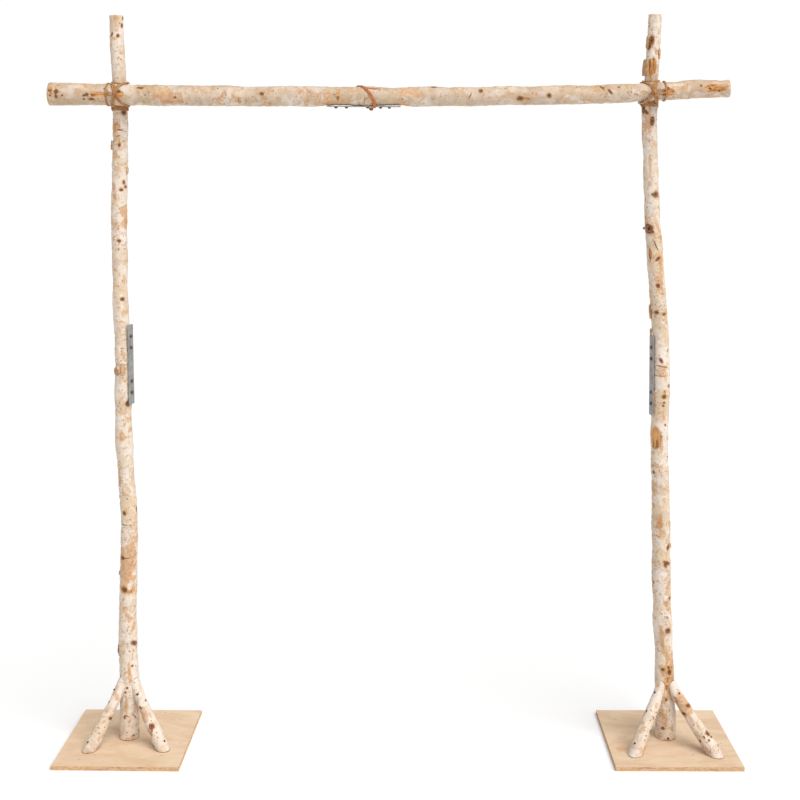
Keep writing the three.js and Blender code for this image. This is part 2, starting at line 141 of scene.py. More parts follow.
def colour(red, green, blue):
    """A colour as a maker reads it off a screen, 0 to 255, as the linear colour that light needs."""
    channels = [channel / 255 for channel in (red, green, blue)]
    linear = [c / 12.92 if c <= 0.04045 else ((c + 0.055) / 1.055) ** 2.4 for c in channels]
    return (*linear, 1.0)


SURROUND = 0.50
BACKDROP = 1.04
DAYLIGHT = (1.0, 0.99, 0.975, 1.0)

studio = bpy.data.worlds.new("studio")
studio.use_nodes = True
bpy.context.scene.world = studio
air = Shade(studio.node_tree)
direction = air.node("TexCoord", out=0)
facing = air.node("VectorMath", {"operation": "DOT_PRODUCT"}, {0: direction, 1: (0.0, 1.0, 0.0)}, out=1)
glow = facing.step(0.86, 0.94) * (BACKDROP - SURROUND) + SURROUND
backdrop = studio.node_tree.nodes["Background"]
studio.node_tree.links.new(glow.socket, backdrop.inputs["Strength"])
backdrop.inputs["Color"].default_value = DAYLIGHT

SUN_STRENGTH = 2.9
SUN_WIDTH = math.radians(48)
SUN_FROM = Vector((0.50, -0.62, 0.95))
SUNLIGHT = (1.0, 0.985, 0.96)

lamp_data = bpy.data.lights.new("soft_lamp", "SUN")
lamp_data.energy = SUN_STRENGTH
lamp_data.angle = SUN_WIDTH
lamp_data.color = SUNLIGHT
lamp = bpy.data.objects.new("soft_lamp", lamp_data)
lamp.rotation_euler = (-SUN_FROM).to_track_quat("-Z", "Y").to_euler()
bpy.context.scene.collection.objects.link(lamp)


def plain_material(name):
    """An empty node material and a shade to start its tree from."""
    material = bpy.data.materials.new(name)
    material.use_nodes = True
    return material, Shade(material.node_tree)


def finish_surface(material, sockets, strength=0.0, deep=0.0, height=None):
    """Joins values and shades to the material's own shader, with a bump this strong and this deep."""
    shader = material.node_tree.nodes["Principled BSDF"]
    if height:
        bump = {"Strength": strength, "Distance": deep, "Height": height}
        sockets = sockets | {"Normal": height.node("Bump", {}, bump)}
    for name, value in sockets.items():
        if isinstance(value, Shade):
            material.node_tree.links.new(value.socket, shader.inputs[name])
        else:
            shader.inputs[name].default_value = value


def add_mesh(name, points, faces, material, smooth=True):
    mesh = bpy.data.meshes.new(name)
    mesh.from_pydata([tuple(point) for point in points], [], faces)
    mesh.validate()
    mesh.polygons.foreach_set("use_smooth", [smooth] * len(mesh.polygons))
    mesh.materials.append(material)
    piece = bpy.data.objects.new(name, mesh)
    bpy.context.scene.collection.objects.link(piece)
    return piece


FLOOR_HALF = 600.0
FLOOR_DROP = 0.0005

floor_paint, start = plain_material("studio_floor")
mottle = start.places().noise(0.6, 3.0)
finish_surface(floor_paint, {
    "Base Color": mottle.paint((239, 240, 242), (241, 242, 244)), "Roughness": 0.9,
})
corners = [(x * FLOOR_HALF, y * FLOOR_HALF, 0) for x, y in ((-1, -1), (1, -1), (1, 1), (-1, 1))]
floor = add_mesh("studio_floor", corners, [(0, 1, 2, 3)], floor_paint, smooth=False)
floor.location.z = -FLOOR_DROP


def fit(piece, slot, *nodes):
    """The piece rides on the arch and stands in for these CAD nodes, which are hidden. The slot is not used.
    """
    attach(piece, "root")
    if nodes:
        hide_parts(*nodes)
    return piece

# ---------------------------------------------------------------- base boards
# Two square offcuts of birch plywood, half an inch thick, sawn and lightly sanded but not varnished.
# Five plies show along the edges, pale along the grain and brown where the end grain drinks light.

PLIES = 5
BOARD_EDGE_STEP = 0.006
BOARD_ARRIS = 0.0006
GLUE_LINE = 0.04
PLY_PROUD = 0.00025
PLY_SHY = 0.00045
SAW_ROUGH = 0.00035
RESIN_STAIN = (0.755, -0.085, 0.013)

plywood, start = plain_material("birch_plywood")
place = start.places()
grain = place.stretched((1.0, 2.4, 1.0)).noise(6.0, 4.0, 0.6, 0.8)
figure = place.stretched((1.0, 3.0, 1.0)).noise(2.2, 2.0, 0.5, 1.2)
cathedral = (figure * 42.0).math("SINE").step(0.25, 1.0)
fibre = place.stretched((60.0, 900.0, 60.0)).noise(1.0, 2.0)
pores = place.stretched((40.0, 320.0, 40.0)).noise(1.0, 1.0).step(0.66, 0.74)
blush = place.noise(4.5, 3.0).step(0.50, 0.72)
speck = place.noise(58.0, 1.0).step(0.73, 0.76)
from_stain = start.node("VectorMath", {"operation": "DISTANCE"}, {0: place, 1: RESIN_STAIN}, out=1)
stain = (from_stain + place.noise(60.0, 3.0) * 0.03).step(0.042, 0.022)
face_tone = grain.step(0.3, 0.7).paint((208, 179, 149), (222, 198, 170)).coated(
    (cathedral * 0.12, (200, 168, 134)),
    (blush * 0.5, (216, 184, 152)),
    (pores * 0.45, (178, 144, 108)),
    (fibre.step(0.35, 0.8) * 0.12, (192, 162, 130)),
    (speck * 0.5, (176, 128, 88)),
    (stain * 0.4, (200, 132, 98)),
)
ply, edge = start.carried("ply"), start.carried("edge")
across = place.stretched((90.0, 90.0, 420.0)).noise(1.0, 3.0)
torn = place.stretched((14.0, 14.0, 160.0)).noise(1.0, 3.0).step(0.56, 0.66)
end_grain = (ply * math.pi * PLIES).math("SINE").step(-0.15, 0.15)
glue = (ply * math.pi * PLIES).math("COSINE").math("ABSOLUTE").step(0.90, 0.985)
edge_tone = end_grain.paint((226, 196, 160), (196, 152, 108)).coated(
    (torn * 0.7, (150, 92, 62)),
    (across.step(0.4, 0.7) * 0.4, (240, 220, 192)),
    (glue * 0.55, (120, 84, 58)),
)
finish_surface(plywood, {
    "Base Color": edge.paint(face_tone, edge_tone),
    "Roughness": 0.62 + grain * 0.18 + edge * 0.15,
    "Specular IOR Level": 0.35,
}, 0.35, 0.0006, fibre * 0.5 + pores * -0.6 + across * edge * 1.5)


def ring_faces(first, second, sides):
    """The faces between two rings of points, each named by its first point."""
    steps = [(i, (i + 1) % sides) for i in range(sides)]
    return [(first + i, first + j, second + j, second + i) for i, j in steps]


def carry(piece, name, values):
    """Gives each point of a piece's mesh a number or a place, for its material to read."""
    values = np.asarray(values)
    kind, field = ("FLOAT_VECTOR", "vector") if values.ndim == 2 else ("FLOAT", "value")
    piece.data.attributes.new(name, kind, "POINT").data.foreach_set(field, values.ravel())


def base_board(node, seed):
    """A board measured off its CAD node: sharp faces, and an edge whose plies are not quite flush."""
    random = np.random.default_rng(seed)
    low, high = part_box(node)
    middle = (low + high) / 2
    corners = {(round(v.co.x, 5), round(v.co.y, 5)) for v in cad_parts[node].data.vertices}
    corners = sorted(corners, key=lambda corner: math.atan2(corner[1] - middle.y, corner[0] - middle.x))
    corners = [np.array(corner) for corner in corners]
    rim = []
    for here, there in zip(corners, corners[1:] + corners[:1]):
        along = there - here
        count = round(np.linalg.norm(along) / BOARD_EDGE_STEP)
        inward = np.array([-along[1], along[0]]) / np.linalg.norm(along)
        rim += [(here + along * i / count, inward) for i in range(count)]
    rows = [(0.0, BOARD_ARRIS)]
    for layer in range(PLIES):
        for share in (GLUE_LINE, 0.5, 1 - GLUE_LINE):
            rows.append(((layer + share) / PLIES, PLY_PROUD if share == 0.5 else PLY_SHY))
    rows.append((1.0, BOARD_ARRIS))
    n = len(rim)
    points, faces = [], []
    for ply, inset in rows:
        rough = random.uniform(0, SAW_ROUGH, n)
        level = low.z + (high.z - low.z) * ply
        points += [(*(p + inward * (inset + r)), level) for (p, inward), r in zip(rim, rough)]
    for row in range(len(rows) - 1):
        faces += ring_faces(row * n, row * n + n, n)
    faces.append(tuple(range(n - 1, -1, -1)))
    faces.append(tuple(range(len(points) - n, len(points))))
    piece = add_mesh(node + "_plywood", points, faces, plywood, smooth=False)
    carry(piece, "ply", np.repeat([ply for ply, inset in rows], n))
    on_edge = piece.data.attributes.new("edge", "FLOAT", "FACE")
    on_edge.data.foreach_set("value", [float(len(p.vertices) == 4) for p in piece.data.polygons])
    return fit(piece, "plywood", node)


for seed, side in enumerate(("left", "right")):
    base_board(side + "_base_board", seed)

# ---------------------------------------------------------------- birch bark and logs
# Every log is a young birch trunk with its bark left on: thin white outer bark that peels back from
# peach inner bark, short rusty breathing pores, dark eyes where twigs died, and sawn pale ends.

LOG_STEP = 0.0028
LOG_SIDES = 96
MARK_KINDS = ("knot", "scar", "peel")
BRINK_WIDE = 0.003
SEAM_REACH = 0.00025
EYE_GROWTH = 1.3
EYE_WIDEST = 0.009
THIN_MARK = 0.0025
SCAR_DEEP = 0.0018
SCAR_LIP = 0.0014
PEEL_DEEP = 0.0006
BUMPS = ((0.11, 1.0, 0.0009), (0.05, 2.2, 0.00035), (0.018, 1.0, 0.00022))
SAW_EASE = 0.0018
SAW_BEVEL = 0.0004
SAW_CHATTER = 0.012
SAW_MARK = 0.00025
CAP_SHARES = (0.0, 0.12, 0.25, 0.4, 0.55, 0.7, 0.83, 0.93, 0.97)
RIM_FROM = 0.9


def ripple(points, size, seed, waves=16):
    """A smooth random height at each point, about 1 in size, with bumps about this far apart."""
    random = np.random.default_rng(seed)
    ways = random.normal(size=(waves, 3))
    ways /= np.linalg.norm(ways, axis=1)[:, None]
    lengths = size * random.uniform(0.75, 1.5, waves)
    phases = random.uniform(0, 2 * math.pi, waves)
    total = np.zeros(len(points))
    for way, length, phase in zip(ways, lengths, phases):
        total += np.sin(points @ way * (2 * math.pi / length) + phase)
    return total / math.sqrt(waves / 2)


def soft_step(value, low, high):
    t = np.clip((value - low) / (high - low), 0, 1)
    return t * t * (3 - 2 * t)


def around(count):
    """Evenly spaced turns once round a log or a ring."""
    return np.arange(count) * (2 * math.pi / count)


def bark_material(name, white, cream, tan_amount, peel_amount, dull=0.0):
    """Birch bark. It follows the log's own places and the marks that its mesh carries."""
    material, start = plain_material(name)
    mark = start.carried
    grown = start.carried("grown", out=1)
    ragged = grown.noise(130.0, 4.0, 0.65)
    cloud = grown.stretched((1.0, 1.0, 1.2)).noise(24.0, 5.0, 0.66, 0.6)
    mottle = grown.stretched((1.0, 1.0, 1.3)).noise(52.0, 3.0, 0.62, 1.0)
    streak = grown.stretched((1.3, 1.3, 1.0)).noise(22.0, 3.0, 0.6, 0.8)
    upright = grown.stretched((3.0, 3.0, 1.0)).noise(14.0, 4.0, 0.65, 0.5)
    base = grown.noise(8.0, 3.0).step(0.38, 0.62).paint(white, cream).coated(
        (grown.noise(19.0, 3.0).step(0.50, 0.62) * 0.5, (216, 203, 186)),
        (cloud.step(0.54, 0.63) * tan_amount, (214, 174, 122)),
        (mottle.step(0.57, 0.65) * tan_amount * 0.9, (204, 152, 98)),
        (streak.step(0.50, 0.58) * 0.7, (252, 249, 243)),
        (upright.step(0.57, 0.68) * 0.6, (214, 164, 112)),
        (ragged.step(0.58, 0.72) * 0.45, (172, 126, 84)),
        # Grey-brown patches, as thick as dull: painted shade that darkens a whole log.
        (grown.noise(13.0, 3.0).step(0.25, 0.65) * dull, (184, 164, 138)),
    )
    # Where the white skin has peeled, peach inner bark shows, with a rusty line along its torn edge.
    peel = mark("peel") + (ragged - 0.5) * 0.9 + (cloud - 0.5) * 1.5 + (mottle - 0.5) * 1.1
    peeled = peel.step(0.0, 0.45) * peel_amount
    peach = streak.step(0.3, 0.7).paint((210, 164, 116), (228, 194, 154)).coated(
        (upright.step(0.42, 0.66) * 0.7, (196, 136, 80)),
        (mottle.step(0.5, 0.62) * 0.5, (240, 222, 198)),
    )
    broken = grown.noise(34.0, 2.0).step(0.42, 0.56)
    torn = (1.0 - (peel - 0.06).math("ABSOLUTE").step(0.0, 0.12)) * broken
    # Old edges of peeled skin leave thin wandering brown lines.
    wander = grown.stretched((1.0, 1.0, 1.5)).noise(24.0, 3.0, 0.6, 1.0)
    line = (1.0 - (wander - 0.5).math("ABSOLUTE").step(0.002, 0.014)) * (1.0 - broken)
    finer = grown.stretched((1.0, 1.0, 1.9)).noise(47.0, 2.0, 0.5, 0.8)
    line = line.math("MAXIMUM", (1.0 - (finer - 0.47).math("ABSOLUTE").step(0.002, 0.020)) * broken * 0.8)
    # Breathing pores are short dashes that run round the log, with darker flecks among them.
    crowd = grown.noise(15.0, 2.0).step(0.42, 0.60)
    pores = grown.stretched((1.0, 1.0, 2.0)).noise(92.0, 1.0, 0.4).step(0.68, 0.73) * crowd
    fleck = grown.noise(170.0, 1.5).step(0.645, 0.695) * (crowd * 0.85 + 0.15)
    spots = {"Vector": grown, "Scale": 62.0, "Randomness": 1.0}
    dots = start.node("TexVoronoi", {}, spots)
    picked = start.node("SeparateColor", {}, {"Color": start.node("TexVoronoi", {}, spots, out=1)})
    picked = picked.step(0.58, 0.60)
    # Old torn places bare the wood: orange-brown, cracked along the log.
    scar = mark("scar") + 0.08 + (ragged - 0.5) * 0.55 + (mottle - 0.5) * 0.3
    bare = scar.step(0.0, 0.22)
    cracks = grown.stretched((8.0, 8.0, 1.0)).noise(20.0, 3.0, 0.6, 0.5)
    nest = ((mark("scar") + (mottle - 0.5) * 0.4) * 20.0).math("SINE").step(0.3, 0.95)
    wood = cracks.step(0.32, 0.50).paint((104, 62, 32), (192, 134, 78)).coated(
        (cracks.step(0.48, 0.62), (218, 168, 110)),
        (nest * 0.6, (140, 84, 42)),
    )
    rim = (1.0 - (scar - 0.10).math("ABSOLUTE").step(0.0, 0.16)) * (broken * 0.6 + 0.4)
    # Dead twigs leave dark eyes in a brown halo.
    knot = mark("knot") + (ragged - 0.5) * 0.55
    eye = knot.step(0.0, 0.14)
    pith = grown.noise(270.0, 2.0)
    inside = pith.step(0.38, 0.64).paint((62, 42, 28), (128, 84, 50)).coated(
        (knot.step(0.30, 0.42) * 0.75, (158, 112, 70)),
        (knot.step(0.52, 0.66), (48, 34, 26)),
    )
    # Sawn ends: pale wood with growth rings, a brown heart and a dark rim of bark.
    cut = mark("cut")
    out_from_heart = mark("ring") + (cloud - 0.5) * 0.0012
    rings = (out_from_heart * 2600.0).math("SINE").step(-0.3, 0.9)
    check = grown.stretched((1.0, 1.0, 0.0)).noise(150.0, 3.0).step(0.5, 0.75)
    sawn = rings.paint((204, 162, 112), (178, 130, 82)).coated(
        (out_from_heart.step(0.006, 0.001) * 0.6, (136, 92, 58)),
        (check * 0.3, (164, 120, 80)),
        (mark("rim") * 0.85, (122, 82, 56)),
    )
    base = base.coated(
        (peeled, peach),
        (torn * 0.75, (158, 104, 62)),
        (line * 0.7, (150, 98, 56)),
        (pores * 0.85, (148, 94, 54)),
        (fleck * 0.8, (112, 76, 48)),
        (dots.step(0.17, 0.11) * picked * 0.85, (128, 80, 46)),
        (bare, wood),
        (rim * 0.6, (122, 76, 42)),
        (knot.step(-0.8, 0.15) * 0.6, (186, 128, 78)),
        (eye * 0.95, inside),
        (cut, sawn),
        (mark("brink") * (ragged.step(0.35, 0.6) * 0.5 + 0.4), (138, 90, 54)),
    )
    height = (
        cloud * 0.9 + mottle * 0.4 + ragged * 0.4 - pores * 0.5 - peeled * 0.8 - line * 0.5
        + cracks * bare * 1.6 + pith * eye * 1.4 + rings * cut * 0.3 - dots.step(0.15, 0.1) * picked * 0.6
    )
    finish_surface(material, {
        "Base Color": base,
        "Roughness": 0.56 + peeled * 0.12 + bare * 0.18 + streak * 0.14 + cut * 0.12,
        "Specular IOR Level": 0.4,
    }, 0.7, 0.0014, height)
    return material


log_bark = bark_material("birch_bark", (245, 239, 225), (234, 220, 193), 0.74, 0.85)


class Ways:
    """A log's lengthwise direction and two directions across it, from which turns are counted."""

    def __init__(self, along, across):
        self.along = np.array(along, float)
        self.along /= np.linalg.norm(self.along)
        across = np.array(across, float)
        self.across = across - self.along * (across @ self.along)
        self.across /= np.linalg.norm(self.across)
        self.third = np.cross(self.along, self.across)

    def outward(self, turns):
        return self.across * np.cos(turns)[..., None] + self.third * np.sin(turns)[..., None]


UPRIGHT = Ways((0, 0, 1), (1, 0, 0))
LEVEL = Ways((1, 0, 0), (0, 0, 1))


def cad_points(node):
    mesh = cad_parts[node].data
    points = np.empty(len(mesh.vertices) * 3)
    mesh.vertices.foreach_get("co", points)
    return points.reshape(-1, 3)


def cad_tree(node):
    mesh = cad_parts[node].data
    return BVHTree.FromPolygons([v.co for v in mesh.vertices], [p.vertices for p in mesh.polygons])


def smoothed(values, width=5):
    padded = np.concatenate([np.repeat(values[:1], width, 0), values, np.repeat(values[-1:], width, 0)])
    weights = np.hanning(2 * width + 3)[1:-1]
    columns = padded.reshape(len(padded), -1).T
    blurred = [np.convolve(column, weights / weights.sum(), "valid") for column in columns]
    return np.array(blurred).T.reshape(values.shape)


class Log:
    """The middle line and thickness of a CAD log, found by looking outwards from its middle.

    The CAD log has flat facets, so the round one is a little more than their average.
    """

    RAYS = 24
    STEP = 0.02
    CLEAR_OF_END = 0.002
    FACET_SHARE = 1.008

    def __init__(self, node, ways, start=None, end=None, soften=5, fuller=0.0):
        self.node, self.ways = node, ways
        points = cad_points(node)
        far = points @ ways.along
        self.start = far.min() if start is None else start
        self.end = far.max() if end is None else end
        tree = cad_tree(node)
        count = round((self.end - self.start) / self.STEP) + 1
        self.places = np.linspace(self.start + self.CLEAR_OF_END, self.end - self.CLEAR_OF_END, count)
        rays = ways.outward(around(self.RAYS))
        middle = self.across_only(points[far < self.start + 0.03].mean(0))
        centres, radii = [], []
        for place in self.places:
            for _ in range(4):
                origin = middle + ways.along * place
                hits = np.array([tree.ray_cast(Vector(origin), Vector(ray))[0] or origin for ray in rays])
                reach = np.linalg.norm(hits - origin, axis=1)
                opposite = (hits[: self.RAYS // 2] + hits[self.RAYS // 2:]) / 2
                middle = self.across_only(np.median(opposite, axis=0))
            centres.append(middle)
            radii.append(np.median(reach) * self.FACET_SHARE)
        self.places[0], self.places[-1] = self.start, self.end
        self.centres = smoothed(np.array(centres), soften)
        self.radii = smoothed(np.array(radii), soften) + fuller

    def across_only(self, point):
        return point - self.ways.along * (point @ self.ways.along)

    def centre(self, along):
        line = np.array([np.interp(along, self.places, column) for column in self.centres.T]).T
        return line + self.ways.along * np.asarray(along)[..., None]

    def radius(self, along):
        return np.interp(along, self.places, self.radii)

    def surface(self, along, turns, lift=0.0):
        reach = (self.radius(along) + lift)[..., None] if np.ndim(along) else self.radius(along) + lift
        return self.centre(along) + self.ways.outward(np.asarray(turns)) * reach


def listed(book):
    """The marks of a log's book as kind, place, turn, half-length, half-width and lean."""
    marks = [(kind, *mark) for kind, marks in book.items() for mark in marks]
    return [mark if len(mark) == 6 else (*mark, 0) for mark in marks]


def lay_marks(marks, along, turns, thick):
    """How deep each point lies in the marks of each kind: above 0 inside, down to -1 outside."""
    depth = {kind: np.full(len(along), -1.0) for kind in MARK_KINDS}
    lift = np.zeros(len(along))
    for kind, where, degrees, long, wide, lean in marks:
        near = np.abs(along - where) < 4 * (long + wide)
        round_by = (turns[near] - math.radians(degrees) + math.pi) % (2 * math.pi) - math.pi
        side, up = round_by * thick[near], along[near] - where
        c, s = math.cos(math.radians(lean)), math.sin(math.radians(lean))
        grow = EYE_GROWTH if kind == "knot" and min(long, wide) > THIN_MARK else 1.0
        u, v = (up * c + side * s) / (long * grow), (side * c - up * s) / (wide * grow)
        distance = np.sqrt(u * u + v * v)
        depth[kind][near] = np.maximum(depth[kind][near], np.clip(1 - distance, -1, 1))
        if kind == "knot":
            swell = np.exp(-((distance / 2.0) ** 2)) * 0.6 - np.exp(-((distance / 0.75) ** 2)) * 0.9
            lift[near] += swell * min(long, wide, EYE_WIDEST) * 0.45
        if kind == "scar":
            lift[near] -= soft_step(1 - distance, 0.0, 0.35) * SCAR_DEEP
            lift[near] += np.exp(-(((distance - 1.15) / 0.18) ** 2)) * SCAR_LIP
    return depth, lift


def wild_marks(random, start, end, quiet):
    """Marks on the sides that the lists leave free: twig eyes, torn bark and a few bare scars."""
    marks = []
    for _ in range(round((end - start) / 0.07)):
        where, degrees = random.uniform(start + 0.02, end - 0.02), random.uniform(*quiet)
        size, wide = random.uniform(0.0022, 0.0065), random.uniform(0.8, 1.9)
        marks.append(("knot", where, degrees, size, size * wide, random.uniform(-40, 40)))
    for _ in range(round((end - start) / 0.12)):
        where, degrees = random.uniform(start, end), random.uniform(*quiet)
        size, long = random.uniform(0.008, 0.022), random.uniform(0.8, 2.2)
        marks.append(("peel", where, degrees, size * long, size, random.uniform(-30, 30)))
    for _ in range(round((end - start) / 0.6)):
        where, degrees = random.uniform(start, end), random.uniform(*quiet)
        marks.append(("scar", where, degrees, random.uniform(0.008, 0.03), random.uniform(0.005, 0.012), 0))
    return marks


def weathered(straight, depth, lift, seed):
    """Adds the steps where the bark has peeled, and its bumps by size, squeeze and height."""
    patch = ripple(straight * (1, 1, 0.55), 0.085, seed + 1) + 0.5 * ripple(straight, 0.03, seed + 2)
    depth["peel"] = np.maximum(depth["peel"], np.clip((patch - 1.45) * 1.2, -1, 1))
    lift -= soft_step(depth["peel"], -0.05, 0.10) * PEEL_DEEP
    for number, (size, squeeze, tall) in enumerate(BUMPS, 3):
        lift += ripple(straight * (1, 1, squeeze), size, seed + number) * tall
    return lift


class Skin:
    """Rings of points along a log or a stub, and what each point carries for its bark."""

    def __init__(self):
        self.rings, self.grown = [], []
        self.layers = {layer: [] for layer in (*MARK_KINDS, "cut", "rim", "ring", "brink")}

    def add(self, ring, place, cut=0.0, share=1.0, radius=1.0, brink=0.0, marks=None):
        """A ring on the bark, or with cut at 1, this share of the way out across a sawn face."""
        self.rings.append(ring)
        self.grown.append(place)
        values = dict(cut=cut, rim=float(cut * (share > RIM_FROM)), ring=radius, brink=brink)
        values |= marks or dict.fromkeys(MARK_KINDS, -1.0)
        for layer, value in values.items():
            self.layers[layer].append(np.broadcast_to(value, len(ring)))

    def mesh(self, name, material):
        """The closed mesh. Its first and last rings shrink to single middle points."""
        def ends_as_points(rings):
            return np.concatenate([rings[0][:1], *rings[1:-1], rings[-1][:1]])

        points = ends_as_points(self.rings)
        sides, last = len(self.rings[1]), len(points) - 1
        faces = [(0, b, a) for a, b, *_ in ring_faces(1, 0, sides)]
        for first in range(1, last - sides, sides):
            faces += ring_faces(first, first + sides, sides)
        faces += [(last, a, b) for a, b, *_ in ring_faces(last - sides, 0, sides)]
        piece = add_mesh(name, points, faces, material)
        carry(piece, "grown", ends_as_points(self.grown))
        for layer, values in self.layers.items():
            carry(piece, layer, ends_as_points(values))
        return piece


def barked(log, along, turns, sides, marks, seed):
    """The log's points as if it were straight, its marks by kind, and how far its bark lifts."""
    thick = log.radius(along)
    straight = np.column_stack([thick * np.cos(turns), thick * np.sin(turns), along])
    depth, lift = lay_marks(marks, along, turns, thick)
    lift = weathered(straight, depth, lift, seed)
    depth = {kind: values.reshape(-1, sides) for kind, values in depth.items()}
    return straight.reshape(-1, sides, 3), depth, lift


def capped(bark, straight, depth, place_cap, seed, browned=(1, 1)):
    """A skin from one sawn end's middle, along the bark, to the other end's middle."""
    skin = Skin()
    own = seed * 3.7

    def cap(end, shares):
        edge = straight[-end]
        reach = np.linalg.norm(edge[:, :2], axis=1)
        for share in shares:
            skin.add(place_cap(end, share), edge * (share, share, 1) + own, 1.0, share, reach * share)

    def near(distance):
        return 1 - soft_step(distance, BRINK_WIDE * 0.4, BRINK_WIDE)

    cap(0, CAP_SHARES)
    for row, (ring, place) in enumerate(zip(bark, straight)):
        brink = np.maximum(
            browned[0] * near((place - straight[0])[:, 2]), browned[1] * near((straight[-1] - place)[:, 2]),
        )
        marks = {kind: depth[kind][row] for kind in MARK_KINDS}
        skin.add(ring, place + own, brink=brink, marks=marks)
    cap(1, CAP_SHARES[::-1])
    return skin


def grow_log(log, seed, marks, quiet, browned=(0, 0), closing=(0, 0), material=log_bark):
    """A fine bark-covered log round the CAD log's own middle line, with both ends sawn off.

    Each end may be browned where it meets a board, and may reach on to close a butt joint.
    """
    random = np.random.default_rng(seed)
    log.start, log.end = log.start - closing[0] * SEAM_REACH, log.end + closing[1] * SEAM_REACH
    rows = round((log.end - log.start) / LOG_STEP) + 1
    along = np.repeat(np.linspace(log.start, log.end, rows), LOG_SIDES)
    turns = np.tile(around(LOG_SIDES), rows)
    own = [mark for mark in listed(marks) if log.start - 0.03 < mark[1] < log.end + 0.03]
    own += wild_marks(random, log.start, log.end, quiet)
    straight, depth, lift = barked(log, along, turns, LOG_SIDES, own, seed)
    saw = soft_step(np.minimum(along - log.start, log.end - along), 0.0, SAW_EASE)
    bark = log.surface(along, turns, lift - (1 - saw) * SAW_BEVEL).reshape(rows, LOG_SIDES, 3)

    def place_cap(end, share):
        middle = log.centre(log.end if end else log.start)
        ring = middle + (bark[-end] - middle) * share
        chatter = ripple(ring, SAW_CHATTER, seed + 9) * SAW_MARK
        return ring + log.ways.along * chatter[:, None]

    skin = capped(bark, straight, depth, place_cap, seed, browned)
    return fit(skin.mesh(log.node + "_bark", material), "birch_bark", log.node)

# ---------------------------------------------------------------- posts
# Each post is two birch logs butted end to end. A mark is listed by its height, its turn about the
# post in degrees (-90 faces the front, 0 the right), half-length, half-width and, last, any lean.

LEFT_POST_MARKS = {
    "knot": [
        (2.425, -20, .004, .003), (2.400, -30, .006, .004), (2.370, -120, .006, .003, 20),
        (2.365, -70, .005, .004), (2.110, -50, .008, .007), (2.050, -80, .002, .012, 10),
        (2.000, -85, .005, .004), (1.980, -160, .006, .004), (1.875, -45, .006, .004),
        (1.860, -30, .004, .005), (1.850, -65, .004, .006), (1.680, -80, .004, .005),
        (1.485, -65, .005, .006), (1.135, -45, .008, .007, 25), (0.770, -110, .006, .005),
        (0.780, -15, .008, .003), (0.730, -120, .0016, .022, 5), (0.620, -125, .005, .006),
        (0.620, -100, .0015, .022, -5), (0.515, -105, .006, .008, 20), (0.335, -40, .006, .01, 30),
        (0.310, -70, .002, .004, 30), (0.260, -55, .003, .003), (0.205, -30, .004, .003),
        (0.190, -90, .003, .003), (0.175, -100, .003, .003), (0.090, -45, .014, .0016, -40),
        (0.095, -95, .0016, .01, 20), (0.090, -110, .004, .003),
    ],
    "scar": [
        (2.000, -165, .012, .004), (0.515, -105, .014, .012), (0.510, -60, .006, .014, -20),
    ],
    "peel": [
        (2.365, -70, .01, .008), (2.005, -90, .022, .008), (1.300, -75, .03, .01, -10),
        (1.280, -65, .008, .014, 30), (1.030, -90, .026, .011), (0.520, -45, .02, .009),
        (0.450, -105, .014, .013), (0.290, -50, .03, .006, 10), (0.240, -75, .05, .008),
        (0.120, -100, .04, .008),
    ],
}
RIGHT_POST_MARKS = {
    "knot": [
        (2.350, -125, .012, .006, 10), (2.305, -50, .016, .002), (2.330, -140, .01, .005),
        (2.265, -120, .016, .0022), (2.265, -85, .009, .0016), (2.125, -150, .017, .006),
        (2.110, -125, .008, .004, -35), (2.080, -80, .013, .0065, 5), (1.835, -70, .009, .007, 30),
        (1.835, -95, .003, .003), (1.720, -135, .014, .012, -25), (1.710, -110, .004, .006),
        (1.665, -90, .02, .002, -20), (1.620, -80, .004, .009, -35), (1.530, -95, .006, .006),
        (1.440, -120, .005, .007), (1.435, -65, .004, .005), (1.280, -100, .008, .004, -30),
        (1.160, -80, .006, .006), (1.140, -80, .003, .003), (1.130, -85, .003, .003),
        (1.065, -65, .003, .003), (1.000, -125, .016, .0022, 5), (0.995, -115, .012, .0022, 10),
        (0.905, -145, .004, .004), (0.955, -25, .004, .004), (0.655, -55, .007, .004, 25),
        (0.605, -65, .004, .012, 25), (0.600, -75, .008, .005), (0.535, -155, .004, .003),
        (0.485, -45, .004, .004), (0.380, -70, .007, .008, 20), (0.250, -110, .004, .005),
        (0.240, -70, .007, .006), (0.255, -50, .003, .003), (0.150, -95, .004, .003),
        (0.055, -115, .004, .005),
    ],
    "scar": [
        (2.345, -130, .024, .013, 10), (2.260, -105, .034, .0175), (1.725, -115, .009, .009),
        (1.635, -135, .02, .006), (1.440, -175, .028, .005), (1.260, -90, .003, .024, 10),
        (1.175, -80, .008, .005), (1.020, -130, .038, .022), (0.245, -75, .018, .008, -5),
        (0.215, -80, .01, .009, 10), (0.190, -90, .01, .005),
    ],
    "peel": [
        (2.310, -70, .01, .012, 30), (2.105, -100, .04, .005), (1.935, -105, .06, .007),
        (1.870, -115, .014, .01), (1.805, -115, .003, .01, 35), (1.605, -65, .05, .008),
        (1.530, -95, .012, .011), (1.240, -90, .026, .026), (1.230, -70, .02, .012),
        (1.095, -80, .022, .006, -15), (1.010, -105, .03, .012), (0.990, -90, .03, .008),
        (0.350, -110, .05, .008), (0.180, -80, .04, .01), (0.080, -105, .022, .016),
    ],
}

